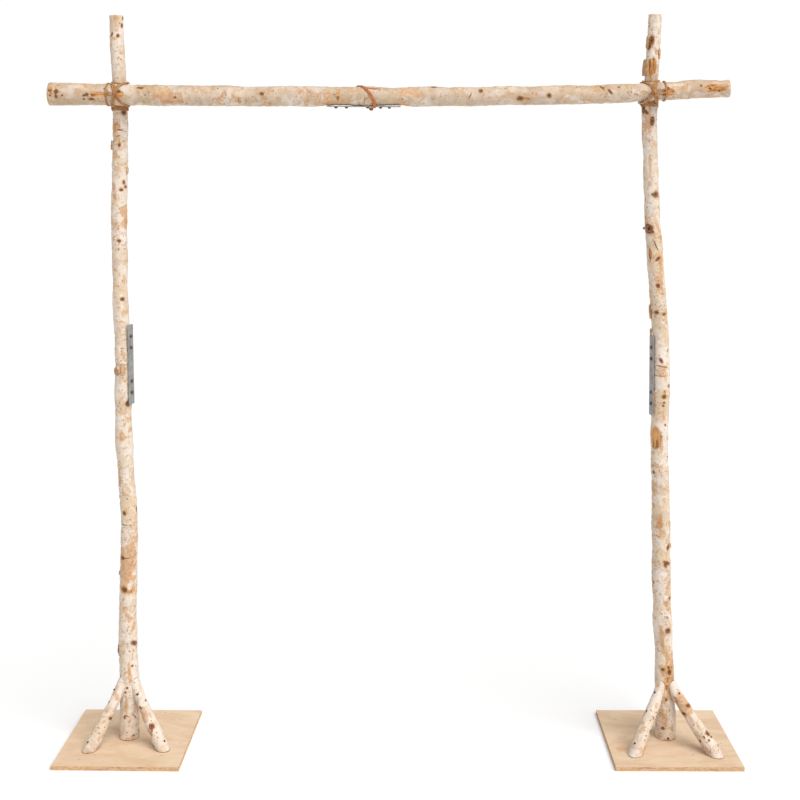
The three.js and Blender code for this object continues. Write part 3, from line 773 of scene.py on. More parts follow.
left_lower, left_upper = Log("left_post_lower", UPRIGHT), Log("left_post_upper", UPRIGHT)
right_lower, right_upper = Log("right_post_lower", UPRIGHT), Log("right_post_upper", UPRIGHT)
grow_log(left_lower, 11, LEFT_POST_MARKS, quiet=(20, 190), browned=(1, 0), closing=(0, 1))
grow_log(left_upper, 12, LEFT_POST_MARKS, quiet=(20, 190), closing=(1, 0))
grow_log(right_lower, 13, RIGHT_POST_MARKS, quiet=(-10, 160), browned=(1, 0), closing=(0, 1))
grow_log(right_upper, 14, RIGHT_POST_MARKS, quiet=(-10, 160), closing=(1, 0))

# ---------------------------------------------------------------- crossbeam
# The beam is two more birch logs end to end. Its marks are listed by place along X, turn (0 is the
# top, 90 the front), half-length, half-width and any lean.

BEAM_MARKS = {
    "knot": [
        (-1.100, 80, .006, .007), (-1.100, 105, .004, .006), (-1.120, 100, .003, .003),
        (-1.080, 100, .003, .003), (-1.000, 95, .006, .005), (-0.985, 120, .008, .004),
        (-1.010, 120, .003, .003), (-1.010, 100, .003, .003), (-0.895, 75, .005, .004),
        (-0.825, 50, .009, .004), (-0.710, 105, .004, .003), (-0.425, 80, .006, .005),
        (0.140, 15, .009, .008), (0.260, 90, .002, .012, 30), (0.295, 60, .006, .006),
        (0.520, 95, .006, .006), (0.425, 110, .008, .006), (0.695, 50, .003, .01, -35),
        (0.720, 80, .009, .0035, 50), (0.750, 55, .003, .003), (0.910, 75, .004, .004),
        (1.050, 90, .005, .003, 40), (1.065, 95, .006, .002), (1.080, 105, .004, .003),
        (1.020, 70, .003, .003),
    ],
    "scar": [
        (-1.120, 70, .008, .01), (-0.960, 95, .03, .009), (-0.890, 90, .012, .011, 30),
        (-0.175, 90, .005, .02), (-0.060, 40, .024, .006), (0.445, 110, .012, .004),
        (0.910, 100, .022, .014), (1.065, 90, .035, .015), (1.100, 75, .012, .006),
    ],
    "peel": [
        (-0.975, 85, .03, .008), (-0.770, 90, .024, .014), (-0.415, 105, .014, .01),
        (-0.205, 90, .022, .02), (0.945, 85, .03, .01), (0.970, 65, .028, .01, -25),
    ],
}

BARK_FULLER = 0.0012
SEAM_SWELL = 0.003
SEAM_SWELL_REACH = 0.15

# The beam's bark is a darker, greyer copy of the posts' bark, with dull patches over it: painted shade that
# darkens the whole beam.
beam_shaded_bark = bark_material("shade_darkened_birch_bark", (238, 230, 214), (224, 208, 180), 0.72, 0.85, 0.5)

beam_left = Log("beam_left_half", LEVEL, fuller=BARK_FULLER)
beam_right = Log("beam_right_half", LEVEL, fuller=BARK_FULLER)
seam = beam_left.end
for half in (beam_left, beam_right):
    swell = np.exp(-(((half.places - seam) / SEAM_SWELL_REACH) ** 2)) * SEAM_SWELL
    half.radii += swell
    half.centres[:, 2] += swell
grow_log(beam_left, 15, BEAM_MARKS, quiet=(180, 350), closing=(0, 1), material=beam_shaded_bark)
grow_log(beam_right, 16, BEAM_MARKS, quiet=(180, 350), closing=(1, 0), material=beam_shaded_bark)

# ---------------------------------------------------------------- struts
# Each board's two struts are thinner, whiter branches. Their feet are sawn level and their tops
# scribed to the post. Dark screws near both ends of each strut, and low in each post, hold them.

STRUT_SIDES = 72
STRUT_ROWS = 84
FOOT_LEVEL = 0.013
POST_CLEARANCE = 0.0004
STRUT_TAPER_EASE = 0.8
STRUT_FOOT = 0.01
STRUT_UNCUT = 0.105
STRUT_SOUND = 0.10
STRUT_LONG = 0.19
STRUT_TOP = 0.15
STRUT_EASE = 0.0016
STRUT_ARRIS = 0.0006

strut_bark = bark_material("birch_strut_bark", (245, 240, 228), (236, 223, 199), 0.42, 0.7)


def rusted_steel(name, bare, rusty, spread, shine, rough, rougher):
    """Small steel heads, dull and speckled with rust."""
    material, start = plain_material(name)
    rust = start.places().noise(320.0, 3.0)
    finish_surface(material, {
        "Base Color": rust.step(0.4, spread).paint(bare, rusty),
        "Metallic": shine - rust * 0.3, "Roughness": rough + rust * rougher,
    }, 0.3, 0.0003, rust)
    return material


dark_steel = rusted_steel("dark_steel", (58, 54, 50), (92, 74, 58), 0.65, 0.75, 0.42, 0.3)


def turned(profile, place, outward, sides, twist=0.0, flats=()):
    """A piece turned from radii and heights, standing on a place and facing outward.

    The steps of its profile that are listed as flats are cut to a hexagon.
    """
    up = Vector(outward).normalized()
    side = up.orthogonal().normalized()
    side.rotate(Quaternion(up, twist))
    third = up.cross(side)
    points, faces = [], []
    for step, (radius, height) in enumerate(profile):
        for turn in around(sides):
            hexagon = math.cos(math.pi / 6) / math.cos((turn % (math.pi / 3)) - math.pi / 6)
            spread = side * math.cos(turn) + third * math.sin(turn)
            reach = radius * (hexagon if step in flats else 1.0)
            points.append(Vector(place) + spread * reach + up * height)
    for ring in range(len(profile) - 1):
        faces += ring_faces(ring * sides, ring * sides + sides, sides)
    faces.append(tuple(range(sides - 1, -1, -1)))
    faces.append(tuple(range(len(points) - sides, len(points))))
    return points, faces


def joined(parts):
    """Several lists of points and faces as one."""
    points, faces = [], []
    for more_points, more_faces in parts:
        base = len(points)
        points += [tuple(point) for point in more_points]
        faces += [tuple(base + corner for corner in face) for face in more_faces]
    return points, faces


PAN_SIDES = 20
PAN_HEAD = [
    (0.0016, -0.0030), (0.0031, -0.0010), (0.0034, 0.0006), (0.0031, 0.0014), (0.0022, 0.0020),
    (0.0013, 0.0021), (0.0011, 0.0011), (0.0003, 0.0010),
]


def grow_strut(node, post, seed, marks):
    """A strut laid along the CAD strut's own axis, its ends cut by the board and by the post."""
    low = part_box(node)[0]
    rough = Log(node, UPRIGHT, start=low[2] + STRUT_FOOT, end=low[2] + STRUT_UNCUT, soften=1)
    first, second = rough.centre(rough.start), rough.centre(rough.end)
    ways = Ways(second - first, (0, -1, 0))
    log = Log(node, ways, start=first @ ways.along, end=first @ ways.along + STRUT_LONG, soften=2)
    sound = log.places < log.start + STRUT_SOUND
    slope, thick_at_start = np.polyfit(log.places[sound] - log.start, log.radii[sound], 1)
    log.radii = thick_at_start + slope * STRUT_TAPER_EASE * (log.places - log.start)
    post_middle = post.centre(STRUT_TOP)
    post_radius = post.radius(STRUT_TOP) + POST_CLEARANCE
    turns = around(STRUT_SIDES)

    def rings(places, share):
        """Points at these places on the strut's lines, this share of the way out to its surface."""
        return log.centre(places) + log.ways.outward(turns) * (log.radius(places) * share)[:, None]

    def ends(share):
        """Where each lengthwise line of the strut, this far out, meets the board and the post."""
        foot = np.full(STRUT_SIDES, log.start)
        top = np.full(STRUT_SIDES, log.end)
        lean = log.ways.along[:2]
        for _ in range(12):
            foot -= (rings(foot, share)[:, 2] - FOOT_LEVEL) / log.ways.along[2]
            gap = rings(top, share)[:, :2] - post_middle[:2]
            b, c = gap @ lean, (gap ** 2).sum(1) - post_radius ** 2
            root = np.sqrt(np.maximum(b * b - (lean @ lean) * c, 0))
            top += (-b - root) / (lean @ lean)
        return foot, top

    foot, top = ends(1.0)
    along = (foot + (top - foot) * np.linspace(0, 1, STRUT_ROWS)[:, None]).ravel()
    all_turns = np.tile(turns, STRUT_ROWS)
    length = top.mean() - foot.mean()
    placed = [(kind, foot.mean() + at * length, *rest) for kind, at, *rest in listed(marks)]
    placed += wild_marks(np.random.default_rng(seed), foot.mean(), top.mean(), (110, 250))
    straight, depth, lift = barked(log, along, all_turns, STRUT_SIDES, placed, seed)
    near_end = np.minimum(along - np.tile(foot, STRUT_ROWS), np.tile(top, STRUT_ROWS) - along)
    arris = (1 - soft_step(near_end, 0.0, STRUT_EASE)) * STRUT_ARRIS
    lift = lift * soft_step(near_end, 0.0, BRINK_WIDE) - arris
    bark = log.surface(along, all_turns, lift).reshape(STRUT_ROWS, STRUT_SIDES, 3)
    skin = capped(bark, straight, depth, lambda end, share: rings(ends(share)[end], share), seed)
    fit(skin.mesh(node + "_bark", strut_bark), "birch_strut", node)
    return log, foot.mean(), length


# Each strut is listed with its post, a seed, its two screws and its marks. Places on it are shares of
# its length, up from the board, and turns are counted from its front.
STRUTS = {
    "left_base_left_strut": (left_lower, 31, [(.90, -70), (.10, -45)], {
        "knot": [
            (.72, -70, .003, .004), (.52, 40, .004, .004), (.52, 60, .005, .003), (.38, 30, .002, .002),
            (.34, -20, .002, .003), (.28, 10, .002, .002), (.22, -50, .003, .002),
            (.18, 35, .002, .002),
        ],
        "peel": [
            (.60, -30, .016, .01), (.44, 0, .01, .006, 20), (.82, 10, .012, .008),
        ],
    }),
    "left_base_right_strut": (left_lower, 32, [(.87, 5), (.09, 60)], {
        "knot": [
            (.74, 70, .003, .003), (.68, -25, .004, .003), (.66, -10, .003, .002, 40),
            (.36, 10, .007, .007), (.30, 0, .006, .0018, 30), (.26, -20, .004, .002, -30),
            (.10, -60, .007, .003), (.18, 20, .002, .002),
        ],
        "peel": [
            (.64, -10, .01, .01), (.36, 10, .013, .011), (.52, 40, .014, .007),
        ],
    }),
    "right_base_left_strut": (right_lower, 33, [(.89, -55), (.12, -55)], {
        "knot": [
            (.60, -70, .004, .003), (.56, 20, .003, .002, 30), (.54, 30, .002, .003),
            (.50, 0, .002, .003), (.36, 60, .006, .007, 30), (.28, 10, .002, .003),
            (.12, 70, .005, .003), (.64, 30, .002, .003),
        ],
        "peel": [
            (.72, 5, .014, .008), (.34, -40, .012, .009),
        ],
    }),
    "right_base_right_strut": (right_lower, 34, [(.89, 30), (.09, 80)], {
        "knot": [
            (.70, 40, .005, .007, 20), (.64, -50, .004, .008, 30), (.28, 50, .007, .006),
            (.22, 60, .003, .004), (.24, -50, .004, .003), (.20, 20, .003, .003),
        ],
        "scar": [
            (.84, -40, .012, .004), (.26, 0, .006, .004),
        ],
        "peel": [
            (.80, -20, .018, .008), (.52, -15, .026, .009), (.40, 10, .016, .008),
        ],
    }),
}
POST_FOOT_SCREWS = {"left_base": (left_lower, 0.030, -55), "right_base": (right_lower, 0.022, -86)}


def pan_head(log, along, degrees):
    """A screw head seated on a log."""
    turn = np.array(math.radians(degrees))
    return turned(PAN_HEAD, log.surface(along, turn), log.ways.outward(turn), PAN_SIDES)


for base, foot_screw in POST_FOOT_SCREWS.items():
    heads = []
    for node, (post, seed, screws, marks) in STRUTS.items():
        if node.startswith(base):
            log, foot, length = grow_strut(node, post, seed, marks)
            heads += [pan_head(log, foot + at * length, degrees) for at, degrees in screws]
    heads.append(pan_head(*foot_screw))
    fit(add_mesh(base + "_strut_screws", *joined(heads), dark_steel), "screw_steel")

# ---------------------------------------------------------------- splice plates and coach screws
# A punched flat bar of zinc-plated steel laps each seam, dull grey with faint spangles. Four coach
# screws hold it: turned hexagon heads, chamfered on top, darkened by weather. A fifth hole is empty.

PLATE_CORNER = 0.003
PLATE_EDGE = 0.0005
SPARE_HOLE_AT = 0.018
SIDE_FACING = 0.9
SCREW_HOLE = 0.0033
SPARE_HOLE = 0.0025
HEAD_TALL = 0.005
HEAD_SIDES = 36
HOLE_SIDES = 24
CORNER_POINTS = 7

zinc, start = plain_material("zinc_plate")
place = start.places()
spangle = start.node("TexVoronoi", {}, {"Vector": place, "Scale": 95.0}, out=1)
spangle = spangle.node("SeparateColor", {}, {"Color": spangle})
worn = place.noise(24.0, 4.0, 0.6)
scratch = place.stretched((1.0, 1.0, 16.0)).noise(60.0, 2.0).step(0.62, 0.70)
finish_surface(zinc, {
    "Base Color": spangle.paint((146, 146, 144), (168, 167, 164)).coated(
        (worn.step(0.45, 0.7) * 0.5, (126, 124, 118)),
        (scratch * 0.3, (190, 190, 187)),
    ),
    "Metallic": 0.55, "Roughness": 0.42 + worn * 0.2 + spangle * 0.08,
}, 0.15, 0.0003, spangle * 0.3 + worn)

HEX_HEAD = [
    (0.0030, -0.0030), (0.0060, 0.0000), (0.0060, 0.0007), (0.0052, 0.0007), (0.0052, 0.0034),
    (0.0044, 0.0046), (0.0026, 0.0051), (0.0006, 0.0052),
]

weathered_zinc = rusted_steel("weathered_zinc", (92, 88, 80), (118, 96, 72), 0.6, 0.6, 0.45, 0.25)


def flat_bar(node, holes):
    """A bar with rounded corners, eased edges and punched holes, where its CAD bar lies."""
    points = cad_points(node)
    polygons = sorted(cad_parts[node].data.polygons, key=lambda polygon: -polygon.area)
    face = np.array(polygons[0].normal)
    long = np.linalg.svd(points - points.mean(0), full_matrices=False)[2][0]
    rough_side = np.cross(long, face)
    sides = [np.array(p.normal) for p in polygons if abs(p.normal @ Vector(rough_side)) > SIDE_FACING]
    wide = sides[0]
    long = np.cross(face, wide) * np.sign(np.cross(face, wide)[np.argmax(np.abs(long))])
    spans = [points @ way for way in (long, wide, face)]
    middle = sum((span.max() + span.min()) / 2 * way for span, way in zip(spans, (long, wide, face)))
    half_long, half_wide, half_thick = [(span.max() - span.min()) / 2 for span in spans]

    def outline(inset):
        reach = PLATE_CORNER - inset
        ring = []
        for quarter, (right, up) in enumerate(((1, 1), (-1, 1), (-1, -1), (1, -1))):
            for turn in (quarter + np.linspace(0, 1, CORNER_POINTS)) * math.pi / 2:
                x = right * (half_long - PLATE_CORNER) + reach * math.cos(turn)
                ring.append((x, up * (half_wide - PLATE_CORNER) + reach * math.sin(turn)))
        return ring

    def hole(at, radius):
        return [(at + radius * math.cos(turn), radius * math.sin(turn)) for turn in around(HOLE_SIDES)[::-1]]

    def cuts(inset):
        return [outline(inset)] + [hole(at, radius + inset) for at, radius in holes]

    levels = ((-half_thick, PLATE_EDGE), (-half_thick + PLATE_EDGE, 0.0),
              (half_thick - PLATE_EDGE, 0.0), (half_thick, PLATE_EDGE))
    made, faces, starts = [], [], []
    for rings in zip(*(cuts(inset) for _, inset in levels)):
        for (level, _), ring in zip(levels, rings):
            starts.append(len(made))
            made += [middle + long * x + wide * y + face * level for x, y in ring]
        for first, second in zip(starts[-4:], starts[-3:]):
            faces += ring_faces(first, second, len(rings[0]))
    rings = cuts(PLATE_EDGE)
    for level in (0, 3):
        index = [starts[k * 4 + level] + i for k, ring in enumerate(rings) for i in range(len(ring))]
        for triangle in tessellate_polygon([[Vector((x, y, 0)) for x, y in ring] for ring in rings]):
            faces.append(tuple(index[corner] for corner in triangle))
    return made, faces


def level_faces(piece):
    """Turns every face of a closed mesh outwards."""
    built = bmesh.new()
    built.from_mesh(piece.data)
    bmesh.ops.recalc_face_normals(built, faces=built.faces)
    built.to_mesh(piece.data)
    built.free()


def coach_screws(name, seed):
    """Hexagon heads on the four CAD screws of a plate, each a little turned from the next."""
    random = np.random.default_rng(seed)
    heads = []
    for number in range(1, 5):
        points = cad_points(f"{name}_{number}")
        centre = points.mean(0)
        axis = np.linalg.svd(points - centre, full_matrices=False)[2][0]
        far = (points - centre) @ axis
        wide = np.linalg.norm(points - centre - np.outer(far, axis), axis=1)
        outward = axis * (1 if wide[far > 0].max() > wide[far < 0].max() else -1)
        seat = centre + outward * (((points - centre) @ outward).max() - HEAD_TALL)
        twist = random.uniform(0, math.pi)
        heads.append(turned(HEX_HEAD, seat, outward, HEAD_SIDES, twist, flats=(3, 4)))
    return joined(heads)


# Each bar is listed with its screws' places along it, and how far it is drawn up to close on the log.
SPLICES = {
    "left_post_splice": ((-0.094, -0.056, 0.056, 0.094), 0.0),
    "right_post_splice": ((-0.094, -0.056, 0.056, 0.094), 0.0),
    "beam_splice": ((-0.092, -0.057, 0.056, 0.085), 0.0025),
}
for number, (name, (screws_at, snug)) in enumerate(SPLICES.items()):
    holes = [(at, SCREW_HOLE) for at in screws_at] + [(SPARE_HOLE_AT, SPARE_HOLE)]
    plate = add_mesh(name + "_bar", *flat_bar(name + "_plate", holes), zinc, smooth=False)
    heads = add_mesh(name + "_heads", *coach_screws(name + "_screw", number), weathered_zinc, smooth=False)
    for piece in (plate, heads):
        level_faces(piece)
        piece.location.z = snug
    fit(plate, "galvanised_steel", name + "_plate")
    fit(heads, "screw_steel", *(f"{name}_screw_{i}" for i in range(1, 5)))

# ---------------------------------------------------------------- lashings
# Strips of tan rawhide, laid wet in pairs and dried hard: two crossed diagonals over the beam, a low
# collar round the post above and below it, one more turn round the beam, and a knot where all meet.

STRAND_WIDE = 0.0060
STRAND_THICK = 0.0038
PAIR_APART = 0.0031
TIE_INWARD = 0.005
OVER_BEAM_TURNS = (105, 75, 45, 15, -15, -45, -75, -105)
FALLING_INWARD = (-0.017, -0.014, -0.007, -0.001, 0.006, 0.017, 0.029, 0.036)
FALLING_OUTWARD = (0.034, 0.025, 0.010, 0.002, -0.003, -0.009, -0.013, -0.016)
STRAND_SIDES = 12
STRAND_STEP = 0.0022
COLLAR_STEP = 0.0046
COLLAR_GAP = 0.0045
BEAM_HEIGHT = 2.165
KNOT_THICK = 0.0030
KNOT_FLAT = 0.62


def hide_material(name, dark, light, seam, pale):
    """Dried hide: blotched, with darker lines along the strip and pale scuffs."""
    material, start = plain_material(name)
    place = start.places()
    dried = place.noise(55.0, 4.0, 0.6)
    fibre = start.carried("lay", out=1).stretched((60.0, 6.0, 1.0)).noise(6.0, 3.0)
    hide = dried.step(0.3, 0.7).paint(dark, light).coated(
        (fibre.step(0.48, 0.70) * 0.7, seam),
        (place.noise(160.0, 2.0).step(0.60, 0.72) * 0.5, pale),
    )
    finish_surface(material, {
        "Base Color": hide, "Roughness": 0.48 + dried * 0.25, "Specular IOR Level": 0.45,
    }, 0.5, 0.0006, fibre + dried * 0.6)
    return material


tan_hide = hide_material("tan_rawhide", (150, 100, 54), (186, 138, 86), (112, 70, 36), (206, 164, 112))


def curve_through(points, count, closed):
    """Points evenly spread on a smooth curve through these points."""
    points = np.array(points, float)
    n = len(points)
    fine = []
    for i in range(n if closed else n - 1):
        if closed:
            a, b, c, d = (points[(i + k) % n] for k in (-1, 0, 1, 2))
        else:
            a, b, c, d = points[max(i - 1, 0)], points[i], points[i + 1], points[min(i + 2, n - 1)]
        for t in np.linspace(0, 1, 12, endpoint=False):
            fine.append(0.5 * (2 * b + (c - a) * t + (2 * a - 5 * b + 4 * c - d) * t ** 2
                               + (3 * b - a - 3 * c + d) * t ** 3))
    fine.append(fine[0] if closed else points[-1])
    fine = np.array(fine)
    travelled = np.concatenate([[0], np.cumsum(np.linalg.norm(np.diff(fine, axis=0), axis=1))])
    stops = np.linspace(0, travelled[-1], count, endpoint=not closed)
    return np.array([np.interp(stops, travelled, column) for column in fine.T]).T, travelled[-1]


def strand(points, outward_of, wide=STRAND_WIDE, thick=STRAND_THICK, closed=True, seed=0):
    """A strip of hide along a path, flat side down. outward_of gives its upward direction."""
    _, length = curve_through(points, 4, closed)
    count = max(12, round(length / STRAND_STEP))
    path, _ = curve_through(points, count, closed)
    ahead = np.roll(path, -1, 0) - np.roll(path, 1, 0)
    if not closed:
        ahead[0], ahead[-1] = path[1] - path[0], path[-1] - path[-2]
    ahead /= np.linalg.norm(ahead, axis=1)[:, None]
    up = np.array([outward_of(point) for point in path])
    up -= ahead * (up * ahead).sum(1)[:, None]
    up /= np.linalg.norm(up, axis=1)[:, None]
    side = np.cross(ahead, up)
    uneven = (1 + 0.09 * ripple(path, 0.02, seed + 3))[:, None]
    section = [[math.copysign(abs(v) ** 0.8, v) for v in (math.cos(t), math.sin(t))]
               for t in around(STRAND_SIDES)]
    rings = np.array([
        path + side * uneven * (wide / 2 * x) + up * (thick / 2 * y) for x, y in section
    ]).transpose(1, 0, 2)
    lay = np.array([[(seed + k / STRAND_SIDES, length * i / count, 0) for k in range(STRAND_SIDES)]
                    for i in range(count)])
    faces = []
    for i in range(count if closed else count - 1):
        faces += ring_faces(i * STRAND_SIDES, (i + 1) % count * STRAND_SIDES, STRAND_SIDES)
    if not closed:
        faces.append(tuple(range(STRAND_SIDES - 1, -1, -1)))
        faces.append(tuple(range((count - 1) * STRAND_SIDES, count * STRAND_SIDES)))
    return rings.reshape(-1, 3), faces, lay.reshape(-1, 3)


def coil(middle, axis, out, reach, rise, away, wide, seed):
    """One small oval turn of a knot round its middle."""
    points = [middle + axis * reach * math.cos(a) + out * rise * math.sin(a) for a in around(8)]
    return strand(points, lambda point: point - middle + away, wide=wide, thick=KNOT_THICK, seed=seed)


def hide_piece(name, strands, node, material):
    piece = add_mesh(name, *joined([(points, faces) for points, faces, _ in strands]), material)
    carry(piece, "lay", np.concatenate([lay for _, _, lay in strands]))
    level_faces(piece)
    return fit(piece, "rawhide", node)


def away_from(log):
    """Points straight out from the middle line of a log."""
    return lambda point: point - log.centre(point @ log.ways.along)


def lash(node, post, beam, inward, wrap_at, bow):
    """One crossing: where a post and the beam meet, tied on the post's inner side."""
    far = float(beam.centre(post.centre(BEAM_HEIGHT)[0])[2])
    x = float(post.centre(far)[0])
    front = x + inward * TIE_INWARD
    over, behind = away_from(beam), away_from(post)
    back_of_beam = float(beam.centre(x)[1]) + 0.8 * beam.radius(x)
    strands = []

    def add(points, outward, **strip):
        strands.append(strand(points, outward, seed=len(strands), **strip))

    def across_both(point):
        return over(point) if point[1] < back_of_beam else behind(point)

    def on_beam(at, turn, lift):
        """A point on the beam, turned up from its front."""
        return beam.surface(at, math.pi / 2 - turn, STRAND_THICK * lift)

    # Two crossed pairs of strips run over the beam and back round the post.
    for lean, run in ((inward, FALLING_INWARD), (-inward, FALLING_OUTWARD)):
        under = lean > 0
        for pair in (-PAIR_APART, PAIR_APART):
            points = [
                on_beam(front + inward * shift + pair, math.radians(turn), 0.55 if under else 1.25)
                for turn, shift in zip(OVER_BEAM_TURNS, run)
            ]
            for turn in (0, 45, 90, 135, 180):
                t = math.radians(turn if under else 180 - turn)
                at = far - (beam.radius(x) + STRAND_WIDE) * lean * math.cos(t) + pair
                points.append(post.surface(at, t, STRAND_THICK * (0.6 if under else 1.3)))
            add(points, across_both)
    # One collar turn lies above the beam and three below it.
    for side, layers in ((1, 1), (-1, 3)):
        for layer in range(layers):
            height = far + side * (beam.radius(x) + COLLAR_GAP + layer * COLLAR_STEP)
            add([post.surface(height + 0.0008 * math.sin(2 * t + side), t, STRAND_THICK * 0.6)
                 for t in around(8)], behind)
    outer = x + wrap_at
    add([on_beam(outer + bow * (1 - math.cos(t)) / 2, t, 0.6) for t in around(8)], over, wide=0.0068)
    # Two short strips run from the outer turn to the knot.
    for drop in (-0.006, 0.004):
        points = []
        for share in (0.0, 0.25, 0.5, 0.75, 1.0):
            at = outer + (front - outer) * share
            turn = math.asin(drop * (1 - 0.5 * share) / beam.radius(at))
            points.append(on_beam(at, turn, 0.8 + 0.9 * math.sin(math.pi * share * 0.9)))
        add(points, over, wide=0.0042, closed=False)
    # The knot is a small coil round the crossed strips, with two cut tails.
    knot = beam.centre(front) + np.array([0, -(beam.radius(front) + 0.0050), 0.0])
    out = np.array([0, -1.0, 0])
    for tilt, size in ((20, 0.0055), (-35, 0.0050), (75, 0.0045)):
        axis = np.array([math.cos(math.radians(tilt)), 0, math.sin(math.radians(tilt))])
        strands.append(coil(
            knot, axis, out, size * 1.15, size * KNOT_FLAT, out * 0.001, 0.0040, len(strands),
        ))
    for way, droop in ((inward, -0.013), (-inward * 0.4, -0.018)):
        tail = ((0, -0.002, 0), (way * 0.006, -0.0045, droop * 0.35), (way * 0.010, -0.0030, droop))
        add([knot + np.array(step) for step in tail], over, wide=0.0040, thick=0.0026, closed=False)
    return hide_piece(node + "_strands", strands, node, tan_hide)


lash("left_lashing", left_upper, beam_left, 1, -0.025, 0.003)
lash("right_lashing", right_upper, beam_right, -1, 0.035, -0.003)

# ---------------------------------------------------------------- strap at the beam's seam
# Two strips of redder hide, side by side, are pulled slantwise round the beam and its steel bar, over
# the seam, and knotted underneath.

STRAP_SLANT_FRONT = 0.023
STRAP_SLANT_DOWN = 0.019
STRAP_THICK = 0.0024
STRAP_APART = 0.0026
STRAP_LOOSE = 0.0008

beam_middle = beam_left.centre(seam)
beam_thick = float(beam_left.radius(seam))
strap_tree = cad_tree("beam_seam_strap")
path = []
for turn in around(36):
    across = np.array([0, -math.cos(turn), math.sin(turn)])
    slant = (STRAP_SLANT_FRONT * math.cos(turn) - STRAP_SLANT_DOWN * math.sin(turn)) / beam_thick
    ray = across + np.array([slant, 0, 0])
    hit = strap_tree.ray_cast(Vector(beam_middle), Vector(ray))[0]
    gap = ray * (beam_thick + STRAP_LOOSE) if hit is None else np.array(hit) - beam_middle
    reach = max(np.linalg.norm(gap[1:]), beam_thick + STRAP_THICK * 0.5)
    path.append(beam_middle + np.array([gap[0], 0, 0]) + across * reach)
strips = []
for shift in (-STRAP_APART, STRAP_APART):
    shifted = [place + np.array([shift, 0, 0]) for place in path]
    strips.append(strand(shifted, away_from(beam_left), thick=STRAP_THICK, seed=len(strips)))
beneath = path[len(path) * 3 // 4]
knot_middle = np.array([beneath[0], beam_middle[1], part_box("beam_seam_strap")[0].z + 0.004])
up = np.array([0, 0, 1.0])
for tilt, size in ((0, 0.0058), (60, 0.0050), (120, 0.0052)):
    axis = np.array([math.cos(math.radians(tilt)), math.sin(math.radians(tilt)), 0])
    strips.append(coil(knot_middle, axis, up, size, size * KNOT_FLAT, up * -0.001, 0.0044, len(strips)))
red_hide = hide_material("orange_rawhide", (150, 84, 36), (196, 120, 58), (116, 62, 26), (214, 146, 84))
hide_piece("beam_seam_strap_hide", strips, "beam_seam_strap", red_hide)

# ---------------------------------------------------------------- branch stubs
# A few branches were sawn off just proud of the log: short necks of bark round an oval of tan end
# grain. They are listed by log, height, turn, how far they stand out, half-width and half-height.

STUB_SIDES = 40
STUB_ROOT = 0.004
STUB_FACE = (0.95, 0.8, 0.6, 0.4, 0.2, 0.0)
STUBS = [
    (left_lower, 1.245, -125, .0060, .0095, .0130), (right_upper, 1.720, 170, .007, .0035, .004),
    (right_lower, 1.195, -45, .003, .005, .006), (left_upper, 1.620, 110, .008, .008, .010),
    (right_lower, 0.690, 70, .007, .009, .012), (left_lower, 0.560, 165, .006, .006, .008),
    (beam_left, -0.560, 230, .007, .007, .009), (beam_right, 0.830, 200, .008, .008, .010),
]


def branch_stub(number, log, where, degrees, stand, half_wide, half_tall):
    """A closed neck of bark rooted in the log, with its sawn face turned outward."""
    turn = math.radians(degrees)
    outward = log.ways.outward(np.array(turn))
    sideways = np.cross(log.ways.along, outward)
    root = log.surface(where, turn)
    turns = around(STUB_SIDES)
    uneven = 1 + 0.05 * np.sin(3 * turns + number) + 0.03 * np.sin(5 * turns)
    oval = np.column_stack([np.cos(turns) * half_wide, np.sin(turns) * half_tall, np.zeros(STUB_SIDES)])
    neck = [(0.0, -STUB_ROOT), (1.45, -STUB_ROOT), (1.25, 0.0), (1.08, stand * 0.35), (1.02, stand * 0.7),
            (1.0, stand * 0.93), (0.96, stand)]
    steps = [(*step, 0) for step in neck] + [(share, stand, 1) for share in STUB_FACE]
    skin = Skin()
    for share, out, cut in steps:
        spread = np.outer(oval[:, 0], sideways) + np.outer(oval[:, 1], log.ways.along)
        ring = root + spread * (share * uneven)[:, None] + outward * out
        place = oval * share + (0, 0, out) + number * 1.3
        skin.add(ring, place, cut, share, share * half_wide, 0.0 if cut else 0.8)
    return fit(skin.mesh(f"branch_stub_{number}", log_bark), "birch_bark")


for number, stub in enumerate(STUBS, 1):
    branch_stub(number, *stub)

# ---------------------------------------------------------------- loose bark
# Here and there the bark has sprung away from the log in stiff curled flaps, brown on the inside.
# Each flap is listed by its log, height, turn, half-length, width (below 0 it opens to the left) and lift.

FLAP_ROWS = 26
FLAP_COLUMNS = 10
FLAP_THICK = 0.0011
FLAP_GAP = 0.0006


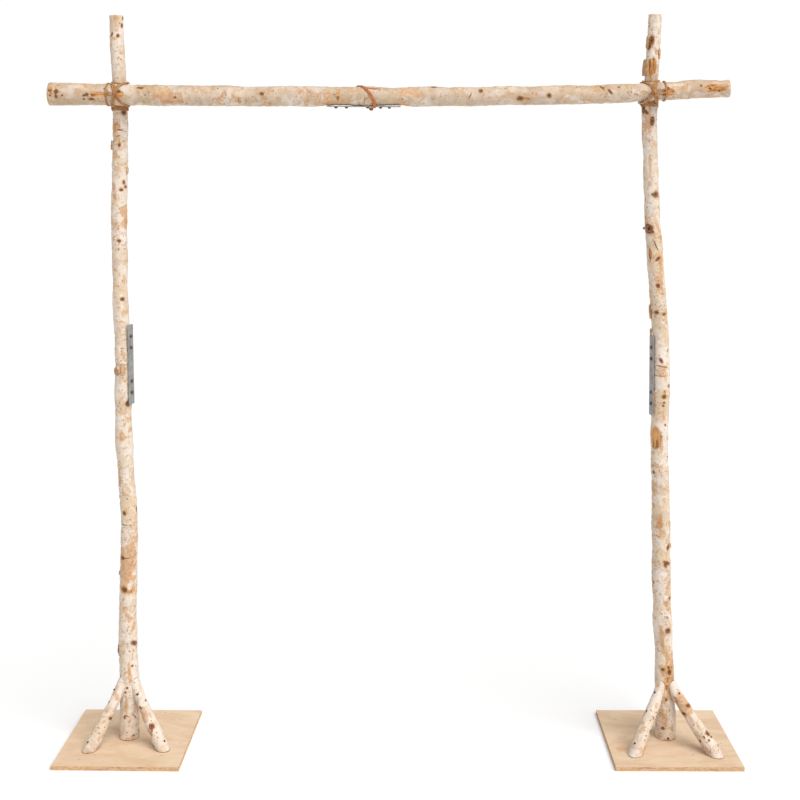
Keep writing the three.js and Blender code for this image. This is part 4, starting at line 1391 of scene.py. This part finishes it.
def bark_flap(log, where, degrees, half_long, wide, lift, seed):
    """A curled scale of bark, held along one edge and free along the other."""
    rows, columns = FLAP_ROWS, FLAP_COLUMNS
    up, out = np.linspace(-1, 1, rows), np.linspace(0, 1, columns)
    ragged = 1 + 0.14 * ripple(np.column_stack([up, up * 0, up * 0]), 0.5, seed)
    points, grown = [], []
    for thickness in (0.0, FLAP_THICK):
        for i, u in enumerate(up):
            for v in out:
                width = wide * v * ragged[i] * (1 - 0.25 * u ** 4)
                turn = math.radians(degrees) + width / log.radius(where)
                height = FLAP_GAP + lift * v ** 1.6 * (1 - 0.35 * u ** 2) + thickness
                at = where + u * half_long
                points.append(log.surface(np.array([at]), np.array([turn]), height)[0])
                grown.append((width + seed, thickness * 3, at))
    faces = []
    n = rows * columns
    for i in range(rows - 1):
        for j in range(columns - 1):
            a = i * columns + j
            faces.append((a, a + 1, a + columns + 1, a + columns))
            faces.append((n + a + columns, n + a + columns + 1, n + a + 1, n + a))
    rim = [*range(columns), *(columns * i + columns - 1 for i in range(1, rows)),
           *range(n - 2, n - columns - 1, -1), *(columns * i for i in range(rows - 2, 0, -1))]
    for a, b in zip(rim, rim[1:] + rim[:1]):
        faces.append((b, a, n + a, n + b))
    return points, faces, grown


FLAPS = [
    (right_upper, 2.260, -150, .028, -.020, .007), (right_upper, 2.345, -150, .022, -.012, .003),
    (right_upper, 2.305, -45, .018, .005, .003), (right_upper, 1.440, -170, .024, -.012, .004),
    (right_lower, 1.150, -130, .013, -.016, .004), (right_lower, 0.660, -50, .008, .010, .003),
    (left_upper, 2.000, -155, .016, -.010, .005), (left_upper, 1.915, -25, .012, .008, .003),
    (left_lower, 1.250, -95, .018, .014, .002), (right_upper, 1.370, -170, .014, -.010, .004),
    (left_lower, 0.300, 150, .020, .014, .004), (right_lower, 0.800, 40, .022, .014, .004),
    (right_upper, 1.900, 90, .020, .012, .004), (left_upper, 1.700, 60, .018, .012, .004),
    (beam_left, -0.720, 250, .018, .012, .004), (beam_right, 0.480, 210, .020, .012, .004),
]
scales = {}
for seed, (log, *shape) in enumerate(FLAPS):
    scales.setdefault(log.node, []).append(bark_flap(log, *shape, seed))
for node, flaps in scales.items():
    points, faces = joined([(points, faces) for points, faces, _ in flaps])
    piece = add_mesh(node + "_loose_bark", points, faces, log_bark)
    level_faces(piece)
    grown = np.concatenate([grown for _, _, grown in flaps])
    carry(piece, "grown", grown)
    for layer, value in (("knot", -1.0), ("scar", 0.0), ("peel", 0.9)):
        carry(piece, layer, np.full(len(grown), value))
    fit(piece, "birch_bark")
